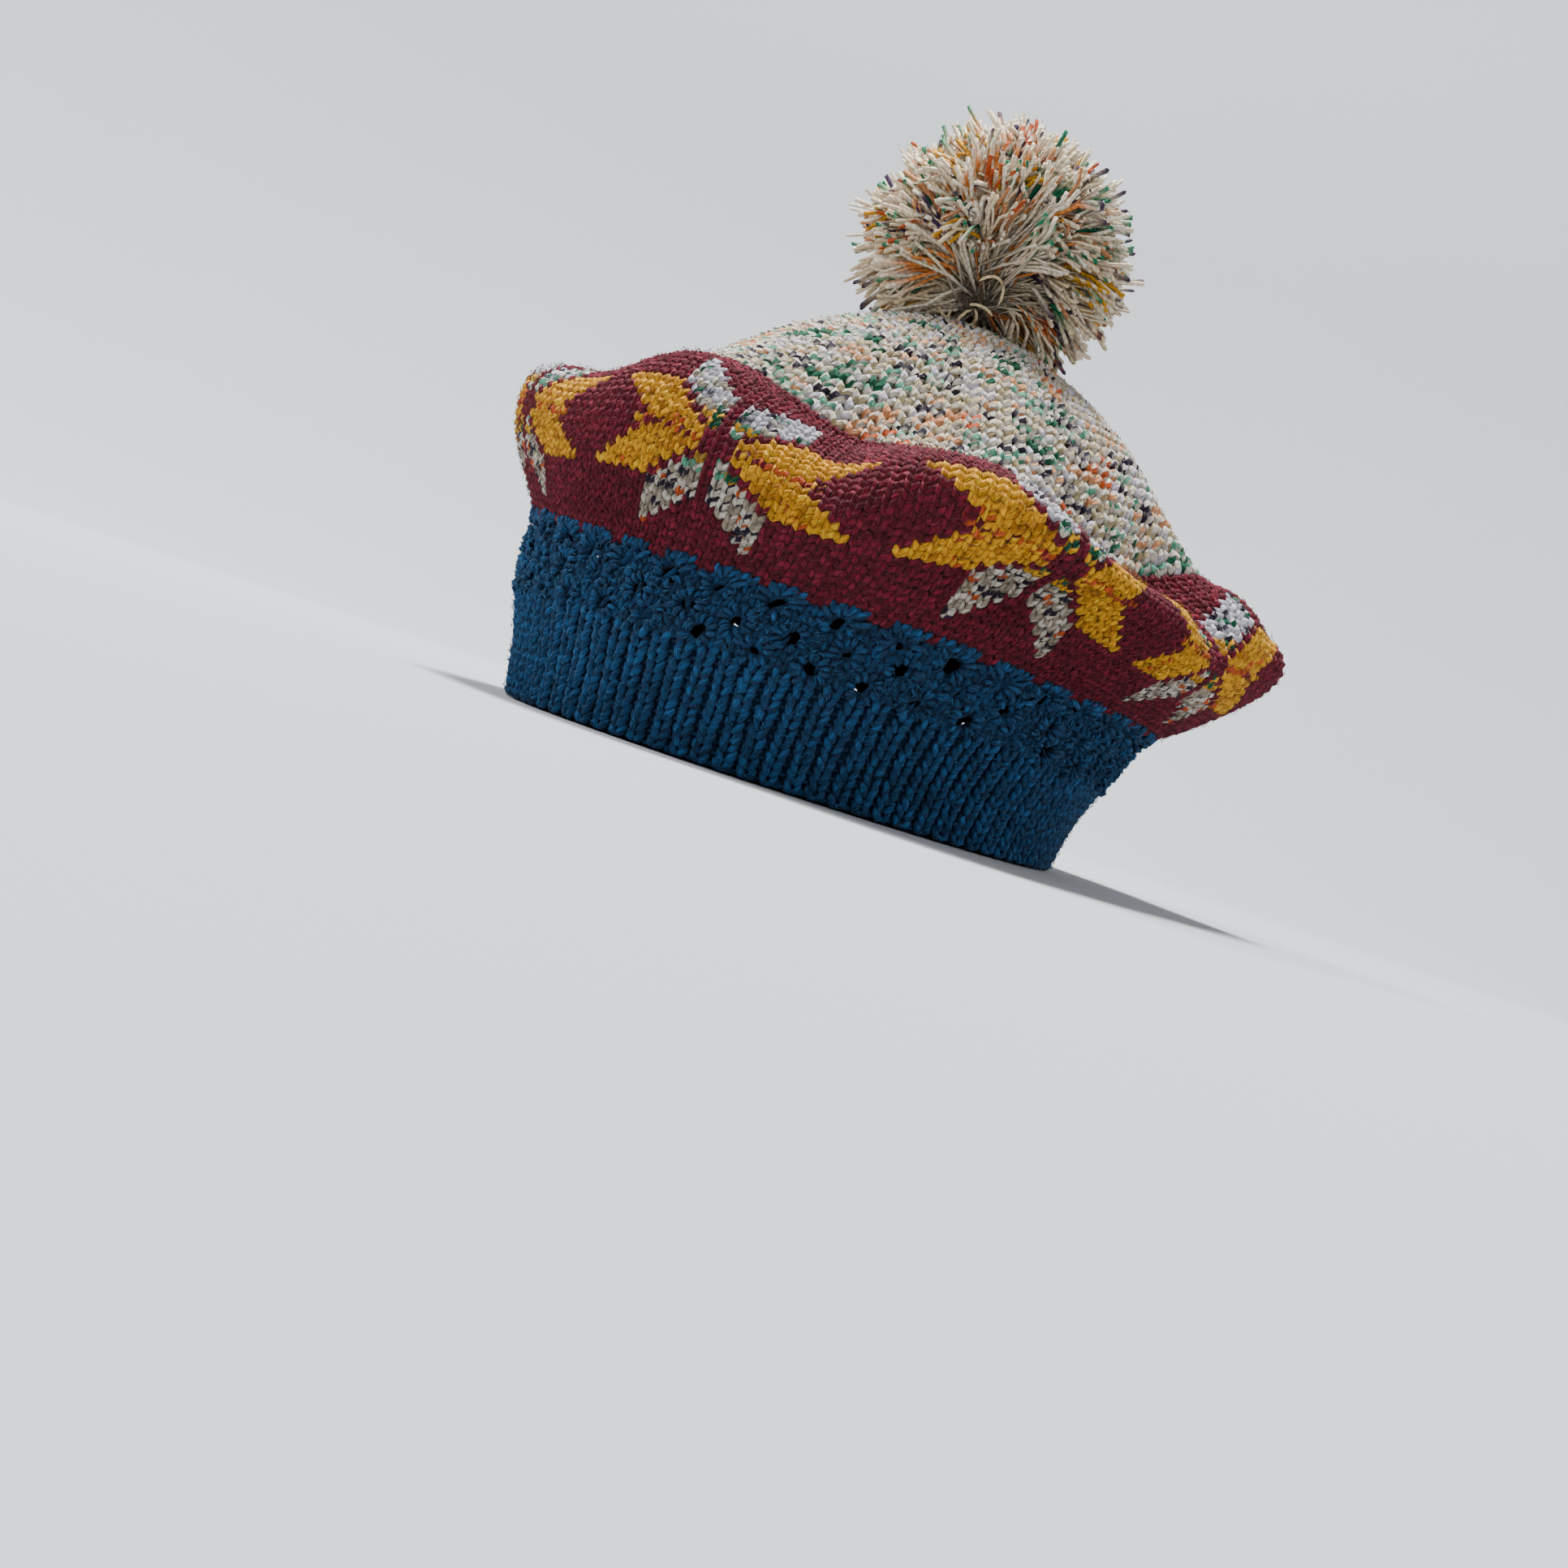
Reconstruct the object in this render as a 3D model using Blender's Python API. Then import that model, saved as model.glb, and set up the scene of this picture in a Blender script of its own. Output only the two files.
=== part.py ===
"""Knit beret: a ribbed band, an openwork strip, a patterned side, a marled crown and a pompom.

Metres, +Z up, -Y the front of the hat, +X the wearer's left. The hat stands on its ribbed rim.
Its outside is one surface, found from an angle around the hat and a level up it. The pieces are
bands of that surface between two levels, each with its own wall.
"""

import math

import bmesh
import bpy
from mathutils import Vector

# The rim, measured over the ribs, and the knitted band above it
RIM_WIDTH = 0.164
RIM_LENGTH = 0.194
BAND_HEIGHT = 0.0465
RIB_COUNT = 88
RIB_WALL = 0.0040
RIB_GROOVE = 0.0013
RIB_CREST_SHARE = 0.62
OPENWORK_WALL = 0.0030
EYELET_ROWS = 3
EYELETS_IN_ROW = 40
EYELET_WIDTH = 0.0044
EYELET_HEIGHT = 0.0030

# The full part of the hat: its widest ring, how far that has slid from the rim, and its height
CROWN_WIDTH = 0.226
CROWN_LENGTH = 0.232
SLIDE_SIDE = 0.006
SLIDE_BACK = 0.010
APEX_HEIGHT = 0.150
SIDE_WALL = 0.0028
CROWN_WALL = 0.0026
FOLD_DEPTH = 0.010

# The pompom, and the core that its locks stand on
POMPOM_WIDTH = 0.088
POMPOM_HEIGHT = 0.074
POMPOM_LIFT = 0.030
POMPOM_CORE = 0.62
POMPOM_LOCKS = 86
LOCK_CLEAR = 0.0020

# The space left between pieces that meet
CLEARANCE = 0.0003

# Levels of the outside, from the rim to the top. band and crown are shares of the band's height and
# of the height above it, rim and wide are shares of the rim's and the widest ring's half sizes, and
# slide is the share of the slide that the ring has made.
SECTIONS = (
    # name, band, crown, rim, wide, slide
    ("rim", 0.00, 0.000, 1.00, 0.000, 0.00),
    ("ribs_middle", 0.32, 0.000, 0.95, 0.060, 0.02),
    ("ribs_top", 0.61, 0.000, 0.84, 0.180, 0.08),
    ("openwork_middle", 0.81, 0.000, 0.68, 0.320, 0.22),
    ("seam", 1.00, 0.000, 0.50, 0.475, 0.42),
    ("underside", 1.00, 0.080, 0.22, 0.755, 0.70),
    ("shoulder_low", 1.00, 0.160, 0.04, 0.945, 0.90),
    ("shoulder", 1.00, 0.240, 0.00, 1.000, 1.00),
    ("shoulder_high", 1.00, 0.325, 0.00, 0.975, 1.00),
    ("crest", 1.00, 0.395, 0.00, 0.895, 1.00),
    ("crown_edge", 1.00, 0.450, 0.00, 0.800, 1.00),
    ("crown_low", 1.00, 0.600, 0.00, 0.685, 1.00),
    ("crown_middle", 1.00, 0.790, 0.00, 0.500, 1.00),
    ("crown_high", 1.00, 0.935, 0.00, 0.270, 1.00),
    ("peak", 1.00, 0.997, 0.00, 0.075, 1.00),
    ("apex", 1.00, 1.000, 0.00, 0.000, 1.00),
)
LEVEL = {row[0]: float(index) for index, row in enumerate(SECTIONS)}
TOP = len(SECTIONS) - 1

# Soft lobes, dips and pleats of the full part. Each has the angle of its middle, 0 on the wearer's
# left and -90 at the front, its level, how far it spreads in degrees and in levels, and how far it
# moves the cloth outwards and up, as shares of the fold depth.
FOLDS = (
    # name, angle, level, spread_angle, spread_level, outwards, up
    ("front_right_lobe", -99, 9.3, 17, 1.6, 0.30, 1.25),
    ("right_shoulder", -142, 8.5, 22, 1.6, 1.00, 1.15),
    ("right_bulge", -152, 6.9, 24, 1.3, 0.40, 0.20),
    ("seam_lift", -165, 4.3, 45, 2.0, 0.45, 0.85),
    ("front_dip", -73, 9.6, 8, 1.6, -0.50, -0.10),
    ("front_pleat", -71, 8.2, 7, 1.6, -0.45, -0.20),
    ("long_ridge", -52, 8.8, 14, 1.3, 0.50, 0.50),
    ("shoulder_ridge", -42, 7.9, 14, 1.1, 0.75, 0.10),
    ("undercut", -40, 5.9, 13, 1.0, -0.95, 0.50),
    ("left_front_sag", -24, 9.8, 16, 1.6, -0.50, -0.90),
    ("left_notch", -6, 9.0, 7, 1.8, -0.90, -0.40),
    ("left_lobe", 9, 8.8, 8, 1.6, 0.30, 0.50),
    ("left_tip", 24, 7.8, 9, 1.5, 1.00, 0.40),
    ("back_left_notch", 46, 9.0, 7, 1.8, -0.60, -0.30),
    ("back_left_lobe", 74, 8.0, 15, 1.8, 0.50, 0.50),
    ("back_dip", 101, 9.0, 8, 1.8, -0.70, -0.40),
    ("back_right_lobe", 126, 8.2, 15, 1.8, 0.50, 0.60),
    ("right_dip", 156, 8.8, 8, 1.8, -0.70, -0.40),
    ("right_lobe", 182, 8.0, 14, 1.8, 0.30, 0.30),
    ("crown_crease_front", -62, 11.0, 9, 0.8, -0.30, -0.20),
    ("crown_crease_left", 20, 11.0, 10, 0.8, -0.30, -0.20),
    ("crown_crease_back", 110, 11.0, 12, 0.8, -0.30, -0.20),
)

# Colour as red, green and blue, and roughness
YARNS = {
    "petrol_blue_yarn": ((0.014, 0.085, 0.190), 0.88),
    "petrol_blue_open_yarn": ((0.017, 0.098, 0.215), 0.88),
    "burgundy_patterned_yarn": ((0.205, 0.018, 0.040), 0.90),
    "cream_marl_yarn": ((0.680, 0.620, 0.520), 0.92),
    "cream_marl_pompom_yarn": ((0.640, 0.560, 0.430), 0.94),
}


def ring_of(row):
    """Half width, half length, shift to the side, shift to the back and height of one section."""
    _, band, crown, rim, wide, slide = row
    return (
        (rim * RIM_WIDTH + wide * CROWN_WIDTH) / 2,
        (rim * RIM_LENGTH + wide * CROWN_LENGTH) / 2,
        slide * SLIDE_SIDE,
        slide * SLIDE_BACK,
        band * BAND_HEIGHT + crown * (APEX_HEIGHT - BAND_HEIGHT),
    )


RINGS = [ring_of(row) for row in SECTIONS]


def ring_at(level):
    """The ring at any level, on a smooth curve through the sections."""
    index = min(max(int(level), 0), TOP - 1)
    share = level - index
    before = RINGS[max(index - 1, 0)]
    low = RINGS[index]
    high = RINGS[index + 1]
    after = RINGS[min(index + 2, TOP)]
    sizes = []
    for a, b, c, d in zip(before, low, high, after):
        bend = (2 * a - 5 * b + 4 * c - d) * share ** 2 + (3 * b - a - 3 * c + d) * share ** 3
        sizes.append(b + 0.5 * ((c - a) * share + bend))
    return sizes


def fold_at(angle, level):
    """How far the folds move the cloth outwards and up."""
    outwards = 0.0
    up = 0.0
    for _, middle, middle_level, spread, spread_level, share_out, share_up in FOLDS:
        turn = (angle - middle + 180.0) % 360.0 - 180.0
        fade = math.exp(-(turn / spread) ** 2 - ((level - middle_level) / spread_level) ** 2)
        outwards += fade * share_out * FOLD_DEPTH
        up += fade * share_up * FOLD_DEPTH
    start = min(level, 1.0)
    return outwards * start, up * start


def outside(angle, level):
    """Point of the hat's outside at an angle in degrees and a level."""
    half_width, half_length, side, back, height = ring_at(level)
    outwards, up = fold_at(angle, level)
    turn = math.radians(angle)
    return Vector((
        side + (half_width + outwards) * math.cos(turn),
        back + (half_length + outwards) * math.sin(turn),
        height + up,
    ))


def facing(angle, level):
    """The way the outside faces."""
    around = outside(angle + 0.2, level) - outside(angle - 0.2, level)
    upwards = outside(angle, min(level + 0.01, TOP)) - outside(angle, max(level - 0.01, 0.0))
    away = around.cross(upwards)
    if level <= 0.0:
        away.z = 0.0
    return away.normalized()


def under(angle, level, depth):
    """Point at a depth under the outside, measured square to it."""
    return outside(angle, level) - depth * facing(angle, level)


def moved_level(angle, level, distance):
    """The level at a distance up the cloth from another level."""
    rise = (outside(angle, level + 0.02) - outside(angle, level - 0.02)).length / 0.04
    return level + distance / rise


def yarn(name):
    """Matte dyed wool of one colour."""
    colour, roughness = YARNS[name]
    material = bpy.data.materials.new(name)
    material.use_nodes = True
    shader = material.node_tree.nodes["Principled BSDF"]
    shader.inputs["Base Color"].default_value = (*colour, 1.0)
    shader.inputs["Roughness"].default_value = roughness
    shader.inputs["Metallic"].default_value = 0.0
    material.diffuse_color = (*colour, 1.0)
    return material


def finish(shape, name, yarn_name):
    """Turn a closed shape into a named object with its own yarn."""
    bmesh.ops.recalc_face_normals(shape, faces=shape.faces)
    mesh = bpy.data.meshes.new(name)
    shape.to_mesh(mesh)
    shape.free()
    mesh.shade_smooth()
    mesh.set_sharp_from_angle(angle=math.radians(42))
    mesh.materials.append(yarn(yarn_name))
    piece = bpy.data.objects.new(name, mesh)
    bpy.context.scene.collection.objects.link(piece)
    return piece


def add_ring(shape, angles, level, depth, step=0.0):
    """One closed row of points, a step up or down the cloth from a level."""
    row = []
    for angle in angles:
        own_level = moved_level(angle, level, step) if step else level
        row.append(shape.verts.new(under(angle, own_level, depth)))
    return row


def even_angles(count):
    """Angles spaced evenly around the hat."""
    return [360.0 * index / count for index in range(count)]


def join(shape, low, high):
    """Faces between two rows, one of which may have some times as many points."""
    fine, coarse = (low, high) if len(low) >= len(high) else (high, low)
    times = len(fine) // len(coarse)
    middle = (times + 1) // 2
    for index, near in enumerate(coarse):
        far = coarse[(index + 1) % len(coarse)]
        first = index * times
        if times == 1:
            shape.faces.new((near, fine[first], fine[(first + 1) % len(fine)], far))
            continue
        for step in range(times):
            start = fine[first + step]
            end = fine[(first + step + 1) % len(fine)]
            shape.faces.new((near if step < middle else far, start, end))
        shape.faces.new((near, fine[first + middle], far))


def close_on_point(shape, row, point):
    """A fan of faces from a row to one point."""
    tip = shape.verts.new(point)
    for index, start in enumerate(row):
        shape.faces.new((start, row[(index + 1) % len(row)], tip))


def rib_ring(shape, level, step=0.0):
    """A row of ribs: two crest points and one groove point for each."""
    pitch = 360.0 / RIB_COUNT
    row = []
    for rib in range(RIB_COUNT):
        for offset, depth in (
            (-RIB_CREST_SHARE / 2, 0.0),
            (RIB_CREST_SHARE / 2, 0.0),
            (0.5, RIB_GROOVE),
        ):
            angle = pitch * (rib + offset)
            own_level = moved_level(angle, level, step) if step else level
            row.append(shape.verts.new(under(angle, own_level, depth)))
    return row


def make_ribbed_band():
    """The brim: one rib beside the other, standing on its cast-on edge."""
    shape = bmesh.new()
    top = LEVEL["ribs_top"]
    outer = [
        rib_ring(shape, LEVEL["rim"]),
        rib_ring(shape, top, -CLEARANCE / 2),
    ]
    angles = even_angles(RIB_COUNT)
    inner = [
        add_ring(shape, angles, LEVEL["rim"], RIB_WALL),
        add_ring(shape, angles, top, RIB_WALL, -CLEARANCE / 2),
    ]
    join(shape, outer[0], outer[1])
    join(shape, inner[0], inner[1])
    join(shape, outer[0], inner[0])
    join(shape, outer[1], inner[1])
    return finish(shape, "ribbed_band", "petrol_blue_yarn")


def eyelet(angle, low, high, depth):
    """Six points around one eyelet, at a depth under the outside."""
    middle = (low + high) / 2
    sideways = (outside(angle + 1.0, middle) - outside(angle - 1.0, middle)).length / 2
    half_turn = EYELET_WIDTH / 2 / sideways
    rise = (outside(angle, high) - outside(angle, low)).length / (high - low)
    half_rise = EYELET_HEIGHT / 2 / rise
    points = []
    for turn, lift in ((-1, 0), (-0.5, -1), (0.5, -1), (1, 0), (0.5, 1), (-0.5, 1)):
        points.append(under(angle + turn * half_turn, middle + lift * half_rise, depth))
    return points


def frame_hole(shape, below, above, hole):
    """Faces around one eyelet, out to the points below it and above it."""
    left, low_left, low_right, right, high_right, high_left = hole
    for row, near, far in ((below, low_left, low_right), (above, high_left, high_right)):
        shape.faces.new((row[0], left, near))
        if len(row) == 2:
            shape.faces.new((row[0], near, far, row[1]))
        else:
            shape.faces.new((row[0], near, row[1]))
            shape.faces.new((near, far, row[1]))
            shape.faces.new((row[1], far, row[2]))
        shape.faces.new((row[-1], far, right))
    shape.faces.new((below[0], left, above[0]))
    shape.faces.new((below[-1], right, above[-1]))


def cell_points(ring, first):
    """The points of a ring over one eyelet's width: three, or two at an edge of the band."""
    if len(ring) == EYELETS_IN_ROW:
        return [ring[first // 2], ring[(first // 2 + 1) % EYELETS_IN_ROW]]
    return [ring[(first + step) % len(ring)] for step in range(3)]


def make_openwork_band():
    """Staggered rows of eyelets, cut through the cloth."""
    shape = bmesh.new()
    angles = even_angles(2 * EYELETS_IN_ROW)
    low, high = LEVEL["ribs_top"], LEVEL["seam"]
    levels = [low + (high - low) * row / EYELET_ROWS for row in range(EYELET_ROWS + 1)]
    sides = []
    for depth in (0.0, OPENWORK_WALL):
        rings = [add_ring(shape, angles[::2], low, depth, CLEARANCE / 2)]
        rings += [add_ring(shape, angles, level, depth) for level in levels[1:-1]]
        last = (EYELET_ROWS - 1) % 2
        rings.append(add_ring(shape, angles[last::2], high, depth, -CLEARANCE / 2))
        sides.append(rings)
    for row in range(EYELET_ROWS):
        for index in range(EYELETS_IN_ROW):
            first = 2 * index + row % 2
            angle = 180.0 * (first + 1) / EYELETS_IN_ROW
            holes = []
            for rings, depth in zip(sides, (0.0, OPENWORK_WALL)):
                spots = eyelet(angle, levels[row], levels[row + 1], depth)
                hole = [shape.verts.new(spot) for spot in spots]
                frame_hole(shape, cell_points(rings[row], first), cell_points(rings[row + 1], first), hole)
                holes.append(hole)
            join(shape, holes[0], holes[1])
    join(shape, sides[0][0], sides[1][0])
    join(shape, sides[0][-1], sides[1][-1])
    return finish(shape, "openwork_band", "petrol_blue_open_yarn")


def make_patterned_side():
    """The full side that swells out over the band and folds over itself."""
    shape = bmesh.new()
    angles = even_angles(96)
    low, high = LEVEL["seam"], LEVEL["crown_edge"]
    inner_levels = (4.9, 5.8, 6.7, 7.6, 8.5, 9.3)
    outer_levels = (4.7, 5.4, 6.1, 6.9, 7.7, 8.5, 9.3)
    sides = []
    for depth, levels in ((0.0, outer_levels), (SIDE_WALL, inner_levels)):
        rows = [add_ring(shape, angles, low, depth, CLEARANCE / 2)]
        rows += [add_ring(shape, angles, level, depth) for level in levels]
        rows.append(add_ring(shape, angles, high, depth, -CLEARANCE / 2))
        for below, above in zip(rows, rows[1:]):
            join(shape, below, above)
        sides.append(rows)
    join(shape, sides[0][0], sides[1][0])
    join(shape, sides[0][-1], sides[1][-1])
    return finish(shape, "patterned_side", "burgundy_patterned_yarn")


def make_crown_top():
    """The marled round on top, closed at its middle."""
    shape = bmesh.new()
    angles = even_angles(96)
    sides = []
    for depth in (0.0, CROWN_WALL):
        rows = [add_ring(shape, angles, LEVEL["crown_edge"], depth, CLEARANCE / 2)]
        rows.append(add_ring(shape, angles, 10.6, depth))
        for level in (11.3, 12.1, 13.0, LEVEL["peak"]):
            rows.append(add_ring(shape, angles[::2], level, depth))
        for below, above in zip(rows, rows[1:]):
            join(shape, below, above)
        close_on_point(shape, rows[-1], outside(0.0, TOP) - Vector((0.0, 0.0, depth)))
        sides.append(rows)
    join(shape, sides[0][0], sides[1][0])
    return finish(shape, "crown_top", "cream_marl_yarn")


def crown_height(distance):
    """Height of the unfolded crown at a distance from its middle."""
    low, high = LEVEL["shoulder"], float(TOP)
    for _ in range(30):
        level = (low + high) / 2
        half_width, half_length = ring_at(level)[:2]
        if (half_width + half_length) / 2 > distance:
            low = level
        else:
            high = level
    return ring_at(low)[4]


def lock_directions():
    """Directions of the locks, spread evenly over a ball, the last one straight down."""
    directions = []
    for index in range(POMPOM_LOCKS - 1):
        height = 1.0 - 1.93 * (index + 0.5) / (POMPOM_LOCKS - 1)
        turn = index * math.pi * (3.0 - math.sqrt(5.0))
        flat = math.sqrt(1.0 - height * height)
        directions.append(Vector((flat * math.cos(turn), flat * math.sin(turn), height)))
    directions.append(Vector((0.0, 0.0, -1.0)))
    return directions


def lock_reach(middle, direction, wanted):
    """How far a lock reaches before it would press into the crown."""
    steps = 60
    reach = wanted
    for step in range(steps + 1):
        reach = wanted * (POMPOM_CORE + (1.0 - POMPOM_CORE) * step / steps)
        point = middle + reach * direction
        away = math.hypot(point.x - SLIDE_SIDE, point.y - SLIDE_BACK)
        if point.z < crown_height(away) + LOCK_CLEAR:
            break
    return reach


def lock_cells(directions):
    """For each lock, the directions of the corners it shares with its neighbours, in order."""
    ball = bmesh.new()
    points = [ball.verts.new(direction) for direction in directions]
    bmesh.ops.convex_hull(ball, input=points)
    ball.verts.index_update()
    ball.faces.index_update()
    corners = []
    for face in ball.faces:
        corners.append(sum((point.co for point in face.verts), Vector()).normalized())
    cells = []
    for point in points:
        axis = point.co.normalized()
        side = axis.orthogonal().normalized()
        across = axis.cross(side)
        around = []
        for face in point.link_faces:
            corner = corners[face.index]
            around.append((math.atan2(corner.dot(across), corner.dot(side)), face.index))
        cells.append([index for _, index in sorted(around)])
    ball.free()
    return corners, cells


def make_pompom():
    """A ball of yarn locks that stand on one core, resting on the crown by its tied foot."""
    shape = bmesh.new()
    middle = Vector((SLIDE_SIDE, SLIDE_BACK, APEX_HEIGHT + POMPOM_LIFT))
    half_width, half_height = POMPOM_WIDTH / 2, POMPOM_HEIGHT / 2
    directions = lock_directions()
    corners, cells = lock_cells(directions)

    def ball_reach(direction):
        flat = math.hypot(direction.x, direction.y)
        return 1.0 / math.hypot(flat / half_width, direction.z / half_height)

    core = [
        shape.verts.new(middle + POMPOM_CORE * ball_reach(corner) * corner) for corner in corners
    ]
    foot = APEX_HEIGHT + CLEARANCE
    for index, (axis, cell) in enumerate(zip(directions, cells)):
        if index == POMPOM_LOCKS - 1:
            end = [shape.verts.new((core[c].co.x, core[c].co.y, foot)) for c in cell]
            join(shape, [core[c] for c in cell], end)
            shape.faces.new(end)
            continue
        wanted = ball_reach(axis) * (0.965 + 0.035 * math.sin(2.4 * index))
        reach = lock_reach(middle, axis, wanted)
        lean = Vector((math.sin(1.7 * index), math.cos(2.3 * index), 0.4)) * 0.0011
        shoulder = []
        for corner_index in cell:
            spread = axis.lerp(corners[corner_index], 0.72)
            shoulder.append(shape.verts.new(middle + 0.90 * reach * spread + lean))
        join(shape, [core[c] for c in cell], shoulder)
        close_on_point(shape, shoulder, middle + reach * axis + 1.5 * lean)
    return finish(shape, "pompom", "cream_marl_pompom_yarn")


def stand_in_the_middle(pieces):
    """Slide the hat so that its outline is centred over the origin."""
    bpy.context.view_layer.update()
    spots = [vertex.co for piece in pieces for vertex in piece.data.vertices]
    middle_x = (min(spot.x for spot in spots) + max(spot.x for spot in spots)) / 2
    middle_y = (min(spot.y for spot in spots) + max(spot.y for spot in spots)) / 2
    for piece in pieces:
        for vertex in piece.data.vertices:
            vertex.co.x -= middle_x
            vertex.co.y -= middle_y
        piece.data.update()


def main():
    for old in list(bpy.data.objects):
        bpy.data.objects.remove(old, do_unlink=True)
    stand_in_the_middle([
        make_ribbed_band(),
        make_openwork_band(),
        make_patterned_side(),
        make_crown_top(),
        make_pompom(),
    ])


main()
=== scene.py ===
"""Knit beret with a pompom: its stitches, its yarns, and the light that they are seen in.

Metres, +Z up, -Y the front of the hat, +X the wearer's left, as in the part. Every visible wall is
knitted: each stitch is two legs of yarn that stand on a thin ground of the same cloth, and the
pompom is a bundle of cut strands. Each piece stands for one solid of the part.
"""

import math

import bpy
import numpy as np
from mathutils import Matrix, Vector


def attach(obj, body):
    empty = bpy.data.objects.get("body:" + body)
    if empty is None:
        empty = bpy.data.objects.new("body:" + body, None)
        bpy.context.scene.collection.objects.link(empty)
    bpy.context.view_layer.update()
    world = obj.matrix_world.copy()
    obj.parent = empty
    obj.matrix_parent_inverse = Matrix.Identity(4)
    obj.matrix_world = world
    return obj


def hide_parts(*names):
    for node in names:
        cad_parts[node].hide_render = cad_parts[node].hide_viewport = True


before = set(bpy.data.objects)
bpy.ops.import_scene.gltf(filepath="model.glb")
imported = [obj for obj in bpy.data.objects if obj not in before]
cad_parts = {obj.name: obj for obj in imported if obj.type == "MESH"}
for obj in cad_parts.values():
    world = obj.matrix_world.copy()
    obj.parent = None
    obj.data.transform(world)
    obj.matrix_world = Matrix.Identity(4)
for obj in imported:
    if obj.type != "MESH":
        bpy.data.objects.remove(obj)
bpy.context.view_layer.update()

MM = 0.001

# The rim, the band and the full part of the hat, as in the part's source
RIM_WIDTH = 0.164
RIM_LENGTH = 0.194
BAND_HEIGHT = 0.0465
CROWN_WIDTH = 0.226
CROWN_LENGTH = 0.232
SLIDE_SIDE = 0.006
SLIDE_BACK = 0.010
APEX_HEIGHT = 0.150
FOLD_DEPTH = 0.010

# The middle of the rim in the shared frame, which has the middle of the hat's box over its origin
RIM_MIDDLE = np.array((-0.0037721, -0.0105308, 0.0))

# Wall thickness of each knitted piece
RIB_WALL = 4.0 * MM
OPEN_WALL = 3.0 * MM
SIDE_WALL = 2.8 * MM
CROWN_WALL = 2.6 * MM

# Stitch counts. The star pattern repeats eight times over the side's stitches. The crown's stitches
# keep their width, so that fewer stand in its upper rows; its columns only count the way around.
RIBS = 88
RIB_ROWS = 11
EYELETS_IN_ROW = 40
EYELET_ROWS = 3
EYELET_STEP = 4
OPEN_STITCHES = EYELET_STEP * EYELETS_IN_ROW
OPEN_ROWS = 7
SIDE_STITCHES = 208
SIDE_ROWS = 28
CROWN_SECTORS = 8
CROWN_COLUMNS = 160
CROWN_STITCH = 4.7 * MM
CROWN_ROWS = 28

# Sections of the outside from the rim to the crown's middle: their height as shares of the band's
# height and of the crown's over it, their width as shares of the rim's and of the full part's, and
# how much of the slide to the side and the back they have. A section's number is its level.
SECTIONS = (
    # band, crown, rim, wide, slide
    (0.00, 0.000, 1.00, 0.000, 0.00),
    (0.32, 0.000, 0.95, 0.060, 0.02),
    (0.61, 0.000, 0.84, 0.180, 0.08),
    (0.81, 0.000, 0.68, 0.320, 0.22),
    (1.00, 0.000, 0.50, 0.475, 0.42),
    (1.00, 0.080, 0.22, 0.755, 0.70),
    (1.00, 0.160, 0.04, 0.945, 0.90),
    (1.00, 0.240, 0.00, 1.000, 1.00),
    (1.00, 0.325, 0.00, 0.975, 1.00),
    (1.00, 0.395, 0.00, 0.895, 1.00),
    (1.00, 0.450, 0.00, 0.800, 1.00),
    (1.00, 0.600, 0.00, 0.685, 1.00),
    (1.00, 0.790, 0.00, 0.500, 1.00),
    (1.00, 0.935, 0.00, 0.270, 1.00),
    (1.00, 0.997, 0.00, 0.075, 1.00),
    (1.00, 1.000, 0.00, 0.000, 1.00),
)
TOP = len(SECTIONS) - 1
RIBS_TOP, SEAM, CROWN_EDGE = 2.0, 4.0, 10.0

# Folds, ridges and lobes: where their middle is, how far they fade out around it, and how far they
# move the outside there, in shares of the fold depth
FOLDS = (
    # angle, level, spread in degrees, spread in levels, outwards, up
    (-99, 9.3, 17, 1.6, 0.30, 1.25),
    (-142, 8.5, 22, 1.6, 1.00, 1.15),
    (-152, 6.9, 24, 1.3, 0.40, 0.20),
    (-165, 4.3, 45, 2.0, 0.45, 0.85),
    (-73, 9.6, 8, 1.6, -0.50, -0.10),
    (-71, 8.2, 7, 1.6, -0.45, -0.20),
    (-52, 8.8, 14, 1.3, 0.50, 0.50),
    (-42, 7.9, 14, 1.1, 0.75, 0.10),
    (-40, 5.9, 13, 1.0, -0.95, 0.50),
    (-24, 9.8, 16, 1.6, -0.50, -0.90),
    (-6, 9.0, 7, 1.8, -0.90, -0.40),
    (9, 8.8, 8, 1.6, 0.30, 0.50),
    (24, 7.8, 9, 1.5, 1.00, 0.40),
    (46, 9.0, 7, 1.8, -0.60, -0.30),
    (74, 8.0, 15, 1.8, 0.50, 0.50),
    (101, 9.0, 8, 1.8, -0.70, -0.40),
    (126, 8.2, 15, 1.8, 0.50, 0.60),
    (156, 8.8, 8, 1.8, -0.70, -0.40),
    (182, 8.0, 14, 1.8, 0.30, 0.30),
    (-62, 11.0, 9, 0.8, -0.30, -0.20),
    (20, 11.0, 10, 0.8, -0.30, -0.20),
    (110, 11.0, 12, 0.8, -0.30, -0.20),
)

# The pompom's ball, and the tied hub that its strands fan out from, low at the front. Its yarn lies
# in locks: each lock is a length of yarn that has come apart into its strands.
BALL_MIDDLE = np.array((0.0022, -0.0005, 0.1800))
BALL_SIZE = np.array((0.044, 0.044, 0.037))
HUB_WAY = np.array((0.34, -0.62, -0.95))
HUB_WAY = HUB_WAY / np.linalg.norm(HUB_WAY)
HUB_REACH = 0.027
HUB = BALL_MIDDLE + HUB_REACH * HUB_WAY
LOCKS = 680
STRANDS_IN_LOCK = 7
STRANDS = LOCKS * STRANDS_IN_LOCK
STRAND_GAUGE = 0.58 * MM

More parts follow.
